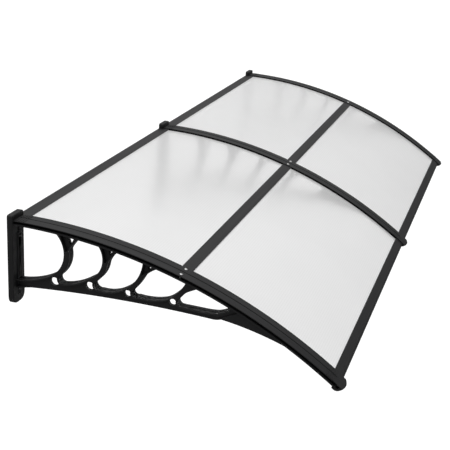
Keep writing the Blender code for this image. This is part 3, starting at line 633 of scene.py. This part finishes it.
def ledge_section():
    """(x, rise) corners of the ledge and the low wall on it."""
    half = [(LEDGE_HALF - LEDGE_CHAMFER, LEDGE_UNDERSIDE), (LEDGE_HALF, LEDGE_UNDERSIDE + LEDGE_CHAMFER)]
    half += [(LEDGE_HALF, LEDGE_TOP), (WALL_HALF, LEDGE_TOP), (WALL_HALF, WALL_TOP)]
    return half + [(-x, rise) for x, rise in reversed(half)]


def bracket():
    """One half of the web and arm is made and mirrored; the rib, plate and ledge are made whole."""
    made = bmesh.new()
    side = Vector((1, 0, 0))
    loops = [panel_outline()] + [window(corners) for corners in WINDOWS + STRUT_WINDOWS]
    loops += [circle(out, lower_edge(out) + over, radius) for out, over, radius in ROUND_WINDOWS]
    back = thick_plate(made, loops, in_side_view, (0, PANEL_HALF), PANEL_ROUNDING, side)
    loops = [rim_outline()] + [window(corners) for corners in WINDOWS + FORK_HOLLOWS]
    back += thick_plate(made, loops, in_side_view, (0, RIM_HALF), RIM_ROUNDING, side)
    back += thick_plate(made, [arm_outline()], in_side_view, (0, ARM_HALF), ARM_ROUNDING, side)
    both_sides(made, back)
    low_rib(made)
    wall_plate(made)
    swept(made, ledge_section(), LEDGE_START, LEDGE_END, LEDGE_STEPS)
    return made


for side_name, place in BRACKET_PLACES:
    piece(
        f"wall_bracket_{side_name}",
        bracket(),
        place,
        moulded_plastic,
        [f"bracket_{side_name}"],
    )

# Polycarbonate sheets
# Milky twin-wall sheet, 4 mm thick, in two panels a bay. Its fine inner ribs run across the roof.
# The panels are slipped into the bars' channels and clamped on the ledges by the cover strips.

SHEET_THICKNESS = 0.0040
BAY_PLACES = (("left", -BAY / 2), ("right", BAY / 2))
END_GAP = 0.0015
HALF_BAY = BAY / 2 - WALL_HALF - END_GAP
# Places along the arc: the joining bar, the front bar's nose, and where the panels start and stop
JOIN_ALONG = 0.4243
FRONT_ALONG = 0.8473
REAR_START = 0.0173
JOIN_SETBACK = 0.0057
FRONT_SETBACK = 0.0052
SHEET_STEPS = 60
INNER_RIB_PITCH = 0.0057
INNER_RIB_SHARPNESS = 5.0
INNER_RIB_SHADE = 0.93
SHEET_GREYS = (0.925, 0.945)
SHEET_CLOUDS = 5.0
SHEET_PATCHES = 40.0
MILK = 0.66
TOP_FACE_ROUGHNESS = (0.44, 0.49)
UNDERSIDE_ROUGHNESS = 0.06


def drawn_across(mesh, profile, half):
    """Bar across the roof from a closed side view of (along, rise) points."""
    shift = Vector((half, 0, 0))
    corners = wire(mesh, [in_side_view(*roof(along, rise)) - shift for along, rise in profile])
    bmesh.ops.edgeloop_fill(mesh, edges=edges_of(corners))
    face = [f for f in corners[0].link_faces if all(v in f.verts for v in corners)]
    extruded(mesh, face, 2 * shift)


def fluted_polycarbonate():
    """Milky sheet: part of the light goes through, blurred by the top face, and the ribs are lines."""
    made, nodes, links, shader = node_material(
        "milky_polycarbonate", IOR=1.08, Coat_Weight=0.08, Coat_Roughness=0.30
    )
    where = nodes.new("ShaderNodeTexCoord").outputs["Object"]
    parts = nodes.new("ShaderNodeSeparateXYZ")
    links.new(where, parts.inputs["Vector"])

    def calculate(operation, first, second=None):
        node = nodes.new("ShaderNodeMath")
        node.operation = operation
        for socket, value in zip(node.inputs, (first, second)):
            if isinstance(value, (int, float)):
                socket.default_value = value
            elif value is not None:
                links.new(value, socket)
        return node.outputs["Value"]

    out = calculate("MULTIPLY", parts.outputs["Y"], -1.0)
    over = calculate("SUBTRACT", parts.outputs["Z"], ROOF_CENTRE.z)
    along = calculate("MULTIPLY", calculate("ARCTAN2", out, over), ROOF_RADIUS)
    ribs = calculate("PINGPONG", calculate("DIVIDE", along, INNER_RIB_PITCH), 0.5)
    line = calculate("SMOOTH_MIN", calculate("MULTIPLY", ribs, INNER_RIB_SHARPNESS), 1.0)
    clouds = noise(nodes, links, where, SHEET_CLOUDS, detail=3.0)
    darker, lighter = [(grey, grey, grey) for grey in SHEET_GREYS]
    tint = ramp(nodes, links, clouds, [(NOISE_LOW, darker), (NOISE_HIGH, lighter)])
    mix = nodes.new("ShaderNodeMix")
    mix.data_type = "RGBA"
    mix.blend_type = "MULTIPLY"
    dark_line = (INNER_RIB_SHADE, INNER_RIB_SHADE, INNER_RIB_SHADE)
    shade = ramp(nodes, links, line, [(0.0, dark_line), (1.0, (1.0, 1.0, 1.0))])
    mix.inputs["Factor"].default_value = 1.0
    links.new(tint, mix.inputs["A"])
    links.new(shade, mix.inputs["B"])
    links.new(mix.outputs["Result"], shader.inputs["Base Color"])
    squares = calculate("ADD", calculate("MULTIPLY", out, out), calculate("MULTIPLY", over, over))
    on_top = calculate("GREATER_THAN", calculate("SQRT", squares), ROOF_RADIUS - SHEET_THICKNESS / 2)
    milk = calculate("MULTIPLY", on_top, MILK)
    links.new(calculate("SUBTRACT", 1.0, milk), shader.inputs["Transmission Weight"])
    patches = noise(nodes, links, where, SHEET_PATCHES)
    blur = calculate("MULTIPLY", on_top, spread(nodes, links, patches, *TOP_FACE_ROUGHNESS))
    links.new(calculate("ADD", blur, UNDERSIDE_ROUGHNESS), shader.inputs["Roughness"])
    return made


milky_sheet = fluted_polycarbonate()


def sheet(start, end):
    """Panel of this stretch of the arc."""
    made = bmesh.new()
    stations = [start + (end - start) * k / SHEET_STEPS for k in range(SHEET_STEPS + 1)]
    lower = [(along, -SHEET_THICKNESS) for along in stations]
    drawn_across(made, lower + [(along, 0.0) for along in reversed(stations)], HALF_BAY)
    return made


SHEETS = (
    ("rear_sheet", REAR_START, JOIN_ALONG - JOIN_SETBACK),
    ("front_sheet", JOIN_ALONG + JOIN_SETBACK, FRONT_ALONG - FRONT_SETBACK),
)
for side_name, place in BAY_PLACES:
    for sheet_name, start, end in SHEETS:
        node = f"{sheet_name}_{side_name}"
        piece(f"fluted_{node}", sheet(start, end), place, milky_sheet, [node])

# Bars across each bay
# Extruded black plastic: a channel on the wall for the sheets' rear edge, an H section where two
# sheets meet, and a channel with a rounded nose on the front edge. Their ends go in under the strips.

# Rises of the lip's top and underside, the web's bottom, and the foot's top and bottom. The foot
# is shorter than the lip by the notch at each end, and starts a hair under the web.
LIP = 0.0012
LIP_UNDERSIDE = 0.0003
WEB_BOTTOM = -0.0039
FOOT_TOP = -0.0040
FOOT = -0.0052
NOTCH = 0.0222
WALL_LIP_END = 0.0330
WALL_WEB_END = 0.0163
WALL_FOOT_END = 0.0280
JOIN_HALF = 0.01375
JOIN_WEB_HALF = 0.0047
# Front bar: the nose's half sizes, and how far its other corners lie behind the nose's tip
NOSE_REACH = 0.0083
NOSE_HALF_HEIGHT = 0.0032
NOSE_MIDDLE = -0.0020
NOSE_STEPS = 12
LIP_GROOVE = (0.0089, 0.0098, 0.0102)
LIP_GROOVE_DEPTH = 0.0006
FRONT_LIP_END = 0.0284
FRONT_LIP_CHAMFER = 0.0003
FRONT_WEB = 0.0042
FRONT_WEB_BOTTOM = -0.0041
FRONT_FOOT_TOP = -0.0042
FOOT_SPARE = 0.0002
FRONT_FOOT_END = 0.0210
bar_plastic = black_plastic(
    "extruded_black_plastic",
    dark=(0.016, 0.016, 0.017),
    light=(0.022, 0.022, 0.023),
    roughness=(0.40, 0.52),
    grain=500.0,
    grain_stretch=(0.02, 1, 1),
)


def softened(profile, radius=0.00035):
    """The profile with each corner rounded a little."""
    points = [Vector(p) for p in profile]
    made = []
    for before, here, after in zip(points[-1:] + points[:-1], points, points[1:] + points[:1]):
        reach = min(radius, (before - here).length / 3, (after - here).length / 3)
        first = here + (before - here).normalized() * reach
        last = here + (after - here).normalized() * reach
        for t in (0.0, 0.5, 1.0):
            made.append(tuple(first.lerp(here, t).lerp(here.lerp(last, t), t)))
    return made


def wall_channel():
    """Channel open to the front; only its lip and web go in over the ledges."""
    made = bmesh.new()
    upper = [(0.0, WEB_BOTTOM), (0.0, LIP), (WALL_LIP_END, LIP), (WALL_LIP_END, LIP_UNDERSIDE)]
    upper += [(WALL_WEB_END, LIP_UNDERSIDE), (WALL_WEB_END, WEB_BOTTOM)]
    drawn_across(made, softened(upper), HALF_BAY)
    lower = [(0.0, FOOT_TOP), (WALL_FOOT_END, FOOT_TOP), (WALL_FOOT_END, FOOT), (0.0, FOOT)]
    drawn_across(made, softened(lower), HALF_BAY - NOTCH)
    return made


def joining_channel():
    """H section between the rear and the front sheet."""
    made = bmesh.new()
    rear, front = JOIN_ALONG - JOIN_HALF, JOIN_ALONG + JOIN_HALF
    web_rear, web_front = JOIN_ALONG - JOIN_WEB_HALF, JOIN_ALONG + JOIN_WEB_HALF
    upper = [(rear, LIP_UNDERSIDE), (rear, LIP), (front, LIP), (front, LIP_UNDERSIDE)]
    upper += [(web_front, LIP_UNDERSIDE), (web_front, WEB_BOTTOM)]
    upper += [(web_rear, WEB_BOTTOM), (web_rear, LIP_UNDERSIDE)]
    drawn_across(made, softened(upper), HALF_BAY)
    lower = [(rear, FOOT), (rear, FOOT_TOP), (front, FOOT_TOP), (front, FOOT)]
    drawn_across(made, softened(lower), HALF_BAY - NOTCH)
    return made


def front_channel():
    """Channel open to the rear, with a round nose and a fine groove along its lip."""
    made = bmesh.new()
    nose = []
    for k in range(NOSE_STEPS + 1):
        turn = math.pi * (k / NOSE_STEPS - 0.5)
        ahead = FRONT_ALONG - NOSE_REACH + NOSE_REACH * math.cos(turn)
        nose.append((ahead, NOSE_MIDDLE + NOSE_HALF_HEIGHT * math.sin(turn)))
    groove = [FRONT_ALONG - behind for behind in LIP_GROOVE]
    lip_end, web = FRONT_ALONG - FRONT_LIP_END, FRONT_ALONG - FRONT_WEB
    upper = [(along, max(rise, FRONT_WEB_BOTTOM)) for along, rise in nose]
    upper += [(groove[0], LIP - LIP_GROOVE_DEPTH), (groove[1], LIP - LIP_GROOVE_DEPTH), (groove[2], LIP)]
    upper += [(lip_end + FRONT_LIP_CHAMFER, LIP), (lip_end, LIP - FRONT_LIP_CHAMFER)]
    upper += [(lip_end, LIP_UNDERSIDE), (web, LIP_UNDERSIDE), (web, FRONT_WEB_BOTTOM)]
    drawn_across(made, upper, HALF_BAY)
    lower = [(along, rise) for along, rise in nose if rise < FRONT_FOOT_TOP - FOOT_SPARE]
    lower += [(lower[-1][0], FRONT_FOOT_TOP)]
    lower += [(FRONT_ALONG - FRONT_FOOT_END, FRONT_FOOT_TOP), (FRONT_ALONG - FRONT_FOOT_END, FOOT)]
    drawn_across(made, lower, HALF_BAY - NOTCH)
    return made


BARS = (("wall", wall_channel), ("joining", joining_channel), ("front", front_channel))
for side_name, place in BAY_PLACES:
    for bar_name, channel in BARS:
        piece(
            f"{bar_name}_channel_{side_name}",
            channel(),
            place,
            bar_plastic,
            [f"{bar_name}_bar_{side_name}"],
        )

# Cover strips
# A black strip lies on each bracket's low wall and clamps the sheets. Its top is a shallow roof
# shape with a fine groove on the ridge, and its front end curls round the ledge and the front bars.

STRIP_HALF = 0.0240
STRIP_UNDERSIDE = 0.0015
STRIP_RISE = 0.0034
STRIP_CROWN = 0.0010
STRIP_SIDE = (0.0018, 0.0030)
STRIP_CHAMFER = 0.0003
STRIP_STATIONS = (0.0234, 0.0150, 0.0045, 0.0019)
STRIP_START = 0.0145
STRIP_END = 0.8380
STRIP_STEPS = 96
# Groove on the ridge: its bottom's half width and rise, its ends, and the step up past them
GROOVE_HALF = 0.0012
GROOVE_BOTTOM = 0.0026
GROOVE_START = 0.0160
GROOVE_END = 0.8330
GROOVE_DEPTH = 0.0017
# Cross ridges at each end, on both sides of the groove: corners are (x, rise)
RIDGES = 4
RIDGE_STARTS = (0.0200, 0.8050)
RIDGE_PITCH = 0.0060
RIDGE_LENGTH = 0.0028
RIDGE = ((0.0224, 0.0030), (0.0026, 0.0038), (0.0026, 0.0053), (0.0224, 0.0044))
# Curled end, in (along, rise) from the nose's centre
NOSE_ALONG = 0.8459
NOSE_FALL = 0.0066
NOSE_RADIUS = 0.01242
NOSE_INSIDE = 0.0086
NOSE_ROOT = -0.0150
OUTSIDE_STEPS = 18
INSIDE_STEPS = 14
STATIONS_A_SIDE = 8
CURL_LIP = (
    (-0.0110, -NOSE_RADIUS),
    (-0.0125, -NOSE_RADIUS + 0.0006),
    (-0.0129, -NOSE_RADIUS + 0.0018),
    (-0.0125, -NOSE_INSIDE - 0.0003),
    (-0.0118, -NOSE_INSIDE),
)
CURL_LIP_START = -0.0100
# Closed side of the curl at a free end: a crescent round the opening
CRESCENT = (
    (-0.0100, -0.0044),
    (-0.0100, -0.0084),
    (-0.0050, -0.0084),
    (-0.0020, -0.0079),
    (0.0004, -0.0062),
    (0.0018, -0.0034),
    (0.0019, 0.0),
)
OPENING_CENTRE = (-0.0037, -0.0014)
OPENING_HALF = (0.0045, 0.0046)
OPENING_STEPS = 12
CRESCENT_DEPTHS = (0.0190, 0.0236)
CRESCENT_ROUNDING = (0.0003, 0.0004)
strip_plastic = black_plastic(
    "strip_black_plastic",
    dark=(0.013, 0.013, 0.014),
    light=(0.018, 0.018, 0.019),
    roughness=(0.40, 0.55),
    grain=600.0,
    grain_stretch=(1, 0.03, 0.03),
)


def strip_top(x):
    return STRIP_RISE + STRIP_CROWN * (1 - abs(x) / STRIP_HALF)


def strip_bar(mesh):
    """The strip along the arc; past the groove's ends the groove's bottom is raised to the ridge."""
    foot, shoulder = STRIP_SIDE
    section = [(-STRIP_HALF, shoulder)] + [(-x, strip_top(x)) for x in STRIP_STATIONS]
    section += [(-GROOVE_HALF, GROOVE_BOTTOM), (GROOVE_HALF, GROOVE_BOTTOM)]
    section += [(x, strip_top(x)) for x in reversed(STRIP_STATIONS)] + [(STRIP_HALF, shoulder)]
    section += [(STRIP_HALF, foot), (STRIP_HALF - STRIP_CHAMFER, STRIP_UNDERSIDE)]
    section += [(-STRIP_HALF + STRIP_CHAMFER, STRIP_UNDERSIDE), (-STRIP_HALF, foot)]
    swept(mesh, section, STRIP_START, STRIP_END, STRIP_STEPS)
    for corner in mesh.verts:
        x, y, z = corner.co
        along = math.atan2(-y, z - ROOF_CENTRE.z) * ROOF_RADIUS
        rise = math.hypot(y, z - ROOF_CENTRE.z) - ROOF_RADIUS
        in_groove = abs(x) < 1.2 * GROOVE_HALF and rise > (STRIP_UNDERSIDE + GROOVE_BOTTOM) / 2
        if in_groove and not GROOVE_START < along < GROOVE_END:
            corner.co += (corner.co - ROOF_CENTRE).normalized() * GROOVE_DEPTH


def curl(mesh):
    """The rounded front end: it falls back towards its sides, all but its lip under the ledge."""
    profile = []
    first = math.asin(STRIP_RISE / NOSE_RADIUS)
    for k in range(OUTSIDE_STEPS + 1):
        turn = first - (first + math.pi / 2) * k / OUTSIDE_STEPS
        profile.append((NOSE_RADIUS * math.cos(turn), NOSE_RADIUS * math.sin(turn)))
    profile += CURL_LIP
    first = math.asin(STRIP_UNDERSIDE / NOSE_INSIDE)
    for k in range(INSIDE_STEPS + 1):
        turn = -math.pi / 2 + (first + math.pi / 2) * k / INSIDE_STEPS
        profile.append((NOSE_INSIDE * math.cos(turn), NOSE_INSIDE * math.sin(turn)))
    profile += [(NOSE_ROOT, STRIP_UNDERSIDE), (NOSE_ROOT, STRIP_RISE)]
    turns = [math.pi / 2 * k / STATIONS_A_SIDE for k in range(-STATIONS_A_SIDE, STATIONS_A_SIDE + 1)]
    rings = []
    for x in [STRIP_HALF * math.sin(turn) for turn in turns]:
        fall = NOSE_FALL * (abs(x) / STRIP_HALF) ** 2
        crown = strip_top(x) - STRIP_RISE
        side = []
        for ahead, rise in profile:
            on_lip = rise < 0 and ahead < CURL_LIP_START
            share = 0.5 + 0.5 * rise / NOSE_RADIUS if rise > 0 else 0.0
            side.append(roof(NOSE_ALONG + ahead - (0.0 if on_lip else fall), rise + crown * share))
        rings.append(wire(mesh, [in_side_view(*point) + Vector((x, 0, 0)) for point in side]))
    for one, other in zip(rings, rings[1:]):
        edges = [e for e in edges_of(one + other) if e.is_wire or e.is_boundary]
        same = [e for e in edges if all(v in one for v in e.verts) or all(v in other for v in e.verts)]
        bmesh.ops.bridge_loops(mesh, edges=same)
    for ring in (rings[0], rings[-1]):
        bmesh.ops.edgeloop_fill(mesh, edges=[e for e in edges_of(ring) if all(v in ring for v in e.verts)])


def cover_strip(outer):
    """Strip with its curl; outer is -1 or 1 at an end bracket, whose free side the curl closes."""
    made = bmesh.new()
    strip_bar(made)
    for first in RIDGE_STARTS:
        for start in [first + RIDGE_PITCH * k for k in range(RIDGES)]:
            for side in (-1, 1):
                swept(made, [(side * x, rise) for x, rise in RIDGE], start, start + RIDGE_LENGTH, 2)
    curl(made)
    if outer:
        crescent = list(CRESCENT)
        for k in range(OPENING_STEPS + 1):
            turn = math.pi * k / OPENING_STEPS
            ahead = OPENING_CENTRE[0] + OPENING_HALF[0] * math.cos(turn)
            crescent.append((ahead, OPENING_CENTRE[1] - OPENING_HALF[1] * math.sin(turn)))
        crescent = [roof(NOSE_ALONG + ahead, rise) for ahead, rise in crescent]
        free_side = Vector((outer, 0, 0))
        thick_plate(made, [crescent], in_side_view, CRESCENT_DEPTHS, CRESCENT_ROUNDING, free_side)
    return made


for side_name, place in BRACKET_PLACES:
    piece(
        f"clamping_strip_{side_name}",
        cover_strip(round(place / BAY)),
        place,
        strip_plastic,
        [f"cover_strip_{side_name}"],
    )

# Sealing lips, partly painted shadow
# A soft black rubber lip runs along each strip's edge and slopes down on the sheet beside it. It
# stops at the bars, whose own lips lie there. Near-black, without sheen and reaching out over the
# sheet, the lip also paints the shadow under the strip's edge as a black band on the sheet.

WALL_END = 0.0335
JOIN_GAP = 0.0143
FRONT_GAP = 0.0290
LIP_STRETCHES = ((WALL_END, JOIN_ALONG - JOIN_GAP), (JOIN_ALONG + JOIN_GAP, FRONT_ALONG - FRONT_GAP))
LIP_STEPS = 48
# (x, rise) corners, from the strip's side round to the sloping top that lies on the sheet as painted shadow
LIP_SECTION = (
    (0.0242, 0.0030),
    (0.0242, 0.0018),
    (0.0225, 0.0014),
    (0.0225, 0.0003),
    (0.0310, 0.0003),
    (0.0310, 0.0008),
    (0.0272, 0.0028),
)
RUBBER_CLOUDS = 40.0


# Near-black rubber without sheen: partly its own colour, partly painted shadow of the strip's edge
def rubber_with_painted_shadow():
    made, nodes, links, shader = node_material("sealing_rubber_and_painted_shadow", Specular_IOR_Level=0.0)
    where = nodes.new("ShaderNodeTexCoord").outputs["Object"]
    clouds = noise(nodes, links, where, RUBBER_CLOUDS)
    # Darker than any of the plastics: painted shadow under the strip's edge, besides the rubber's own black
    stops = [(NOISE_LOW, (0.0030, 0.0030, 0.0032)), (NOISE_HIGH, (0.0050, 0.0050, 0.0052))]
    links.new(ramp(nodes, links, clouds, stops), shader.inputs["Base Color"])
    links.new(spread(nodes, links, clouds, 0.70, 0.85), shader.inputs["Roughness"])
    return made


sealing_rubber_and_painted_shadow = rubber_with_painted_shadow()


def sealing_lips_and_painted_shadow(place):
    """Lips on the sides of this strip that have a bay beside them, with the painted shadow band."""
    made = bmesh.new()
    for side in (-1, 1):
        if abs(place + side * BAY / 2) < BAY:
            section = [(side * x, rise) for x, rise in LIP_SECTION]
            for start, end in LIP_STRETCHES:
                swept(made, section, start, end, LIP_STEPS)
    return made


for side_name, place in BRACKET_PLACES:
    piece(
        f"sealing_lips_and_painted_shadow_{side_name}",
        sealing_lips_and_painted_shadow(place),
        place,
        sealing_rubber_and_painted_shadow,
        [f"cover_strip_{side_name}"],
    )

# Strip screws
# Zinc-plated pan-head screws with a cross recess, two through each strip, over the joining bars.

SCREW_OFFSET = 0.0160
HEAD_RADIUS = 0.0041
HEAD_LIFT = 0.0003
# Half section, (radius, height) from the head's crown to the shank's tip
SCREW_SECTION = (
    (0.0, 0.0024),
    (0.0012, 0.00236),
    (0.0022, 0.0022),
    (0.0031, 0.0018),
    (0.0038, 0.0011),
    (HEAD_RADIUS, 0.0004),
    (HEAD_RADIUS, 0.0),
    (0.0020, 0.0),
    (0.0020, -0.0110),
    (0.0, -0.0140),
)
RECESS_HALF = 0.0005
RECESS_REACH = 0.00225
RECESS_FLOOR = 0.0011
CUTTER_HEIGHT = 0.0040
SPANGLE = 300.0


def zinc():
    made, nodes, links, shader = node_material("bright_zinc", Metallic=1.0)
    where = nodes.new("ShaderNodeTexCoord").outputs["Object"]
    clouds = noise(nodes, links, where, SPANGLE)
    stops = [(NOISE_LOW, (0.70, 0.70, 0.67)), (0.5, (0.78, 0.78, 0.77)), (NOISE_HIGH, (0.72, 0.75, 0.78))]
    links.new(ramp(nodes, links, clouds, stops), shader.inputs["Base Color"])
    links.new(spread(nodes, links, clouds, 0.22, 0.38), shader.inputs["Roughness"])
    return made


zinc_plate = zinc()


def with_recess(head):
    """The head with a cross cut into its top."""
    half, reach = RECESS_HALF, RECESS_REACH
    arm = [(half, half), (half, reach), (-half, reach)]
    quarters = [Matrix.Rotation(math.pi / 2 * k, 2) for k in range(4)]
    cross = bmesh.new()
    corners = wire(cross, [(quarter @ Vector(p)).to_3d() for quarter in quarters for p in arm])
    flat = bmesh.ops.edgeloop_fill(cross, edges=edges_of(corners))["faces"]
    extruded(cross, flat, (0, 0, CUTTER_HEIGHT))
    bmesh.ops.translate(cross, verts=cross.verts, vec=(0, 0, RECESS_FLOOR))
    both = []
    for mesh in (head, cross):
        bmesh.ops.recalc_face_normals(mesh, faces=mesh.faces)
        data = bpy.data.meshes.new("recess")
        mesh.to_mesh(data)
        both.append(bpy.data.objects.new("recess", data))
        bpy.context.scene.collection.objects.link(both[-1])
    cut = both[0].modifiers.new("recess", "BOOLEAN")
    cut.operation = "DIFFERENCE"
    cut.object = both[1]
    made = bmesh.new()
    made.from_mesh(both[0].evaluated_get(bpy.context.evaluated_depsgraph_get()).data)
    for solid in both:
        bpy.data.objects.remove(solid)
    return made


def screw(x):
    """Screw at this x, upright on the strip, whose face turns with the arc."""
    made = bmesh.new()
    chain = [made.verts.new((radius, 0, height)) for radius, height in SCREW_SECTION]
    for one, other in zip(chain, chain[1:]):
        made.edges.new((one, other))
    bmesh.ops.spin(
        made,
        geom=made.verts[:] + made.edges[:],
        cent=(0, 0, 0),
        axis=(0, 0, 1),
        angle=2 * math.pi,
        steps=32,
        use_merge=True,
    )
    bmesh.ops.remove_doubles(made, verts=made.verts, dist=SAME_PLACE)
    made = with_recess(made)
    out, up = roof(JOIN_ALONG, strip_top(SCREW_OFFSET - HEAD_RADIUS) + HEAD_LIFT)
    stand = Matrix.Translation((x, -out, up)) @ Matrix.Rotation(JOIN_ALONG / ROOF_RADIUS, 4, "X")
    bmesh.ops.transform(made, matrix=stand, verts=made.verts)
    return made


for side_name, place in BRACKET_PLACES:
    for end, offset in (("a", -SCREW_OFFSET), ("b", SCREW_OFFSET)):
        node = f"strip_screw_{side_name}_{end}"
        piece(f"pan_head_{side_name}_{end}", screw(place + offset), 0.0, zinc_plate, [node])

# Floor, light and camera
# A pale floor far below, as under a canopy over a door, with an even, soft light
# from the sky above and a little from the sides.

FLOOR_RADIUS = 60.0
FLOOR_UP = -2.3
FLOOR_GREY = 0.32
FLOOR_LIFT = 0.85
LENS = 82.238
CAMERA_PLACE = (-2.96807, -1.09157, 0.87876)
AZIMUTH = math.radians(16.313)
ELEVATION = math.radians(19.251)
ROLL = math.radians(2.894)

floor_mesh = bmesh.new()
bmesh.ops.create_circle(floor_mesh, cap_ends=True, radius=FLOOR_RADIUS, segments=96)
bmesh.ops.translate(floor_mesh, verts=floor_mesh.verts, vec=(0, 0, FLOOR_UP))
floor_data = bpy.data.meshes.new("floor")
floor_mesh.to_mesh(floor_data)
floor = bpy.data.objects.new("floor", floor_data)
bpy.context.scene.collection.objects.link(floor)
floor_paint, nodes, links, shader = node_material("floor_paint", Roughness=1.0, Specular_IOR_Level=0.0)
shader.inputs["Base Color"].default_value = (FLOOR_GREY, FLOOR_GREY, FLOOR_GREY, 1.0)
seen = nodes.new("ShaderNodeLightPath")
either = nodes.new("ShaderNodeMath")
either.operation = "MAXIMUM"
links.new(seen.outputs["Is Camera Ray"], either.inputs[0])
links.new(seen.outputs["Is Transmission Ray"], either.inputs[1])
lift = nodes.new("ShaderNodeMath")
lift.operation = "MULTIPLY"
lift.inputs[1].default_value = FLOOR_LIFT
links.new(either.outputs["Value"], lift.inputs[0])
shader.inputs["Emission Color"].default_value = (1.0, 1.0, 1.0, 1.0)
links.new(lift.outputs["Value"], shader.inputs["Emission Strength"])
floor_data.materials.append(floor_paint)

world = bpy.data.worlds.new("studio")
bpy.context.scene.world = world
world.use_nodes = True
nodes, links = world.node_tree.nodes, world.node_tree.links
direction = nodes.new("ShaderNodeTexCoord").outputs["Generated"]
parts = nodes.new("ShaderNodeSeparateXYZ")
links.new(direction, parts.inputs["Vector"])


def graded(value, low, high, dark, bright):
    """A direction's share between low and high, carried smoothly to dark and bright."""
    node = nodes.new("ShaderNodeMapRange")
    node.interpolation_type = "SMOOTHSTEP"
    for socket, number in (("From Min", low), ("From Max", high), ("To Min", dark), ("To Max", bright)):
        node.inputs[socket].default_value = number
    links.new(value, node.inputs["Value"])
    return node.outputs["Result"]


def combined(operation, first, second):
    node = nodes.new("ShaderNodeMath")
    node.operation = operation
    links.new(first, node.inputs[0])
    links.new(second, node.inputs[1])
    return node.outputs["Value"]


overhead = graded(parts.outputs["Z"], low=0.15, high=0.95, dark=0.0, bright=0.94)
sides = graded(parts.outputs["X"], low=-0.6, high=1.0, dark=0.37, bright=0.29)
front = graded(parts.outputs["Y"], low=-0.8, high=0.2, dark=0.10, bright=1.0)
light = combined("ADD", overhead, combined("MULTIPLY", sides, front))
seen = nodes.new("ShaderNodeLightPath").outputs
through = combined("MAXIMUM", seen["Is Camera Ray"], seen["Is Transmission Ray"])
nodes["Background"].inputs["Color"].default_value = (1.0, 1.0, 1.0, 1.0)
links.new(combined("MAXIMUM", light, through), nodes["Background"].inputs["Strength"])

camera = bpy.data.cameras.new("camera")
camera.sensor_width = 36.0
camera.lens = LENS
camera.clip_end = 200.0
camera_object = bpy.data.objects.new("camera", camera)
level = math.cos(ELEVATION)
ahead = Vector((level * math.cos(AZIMUTH), level * math.sin(AZIMUTH), -math.sin(ELEVATION)))
camera_object.rotation_mode = "QUATERNION"
camera_object.rotation_quaternion = ahead.to_track_quat("-Z", "Y") @ Quaternion((0, 0, 1), ROLL)
camera_object.location = CAMERA_PLACE
bpy.context.scene.collection.objects.link(camera_object)
bpy.context.scene.camera = camera_object
bpy.context.scene.view_settings.view_transform = "Standard"
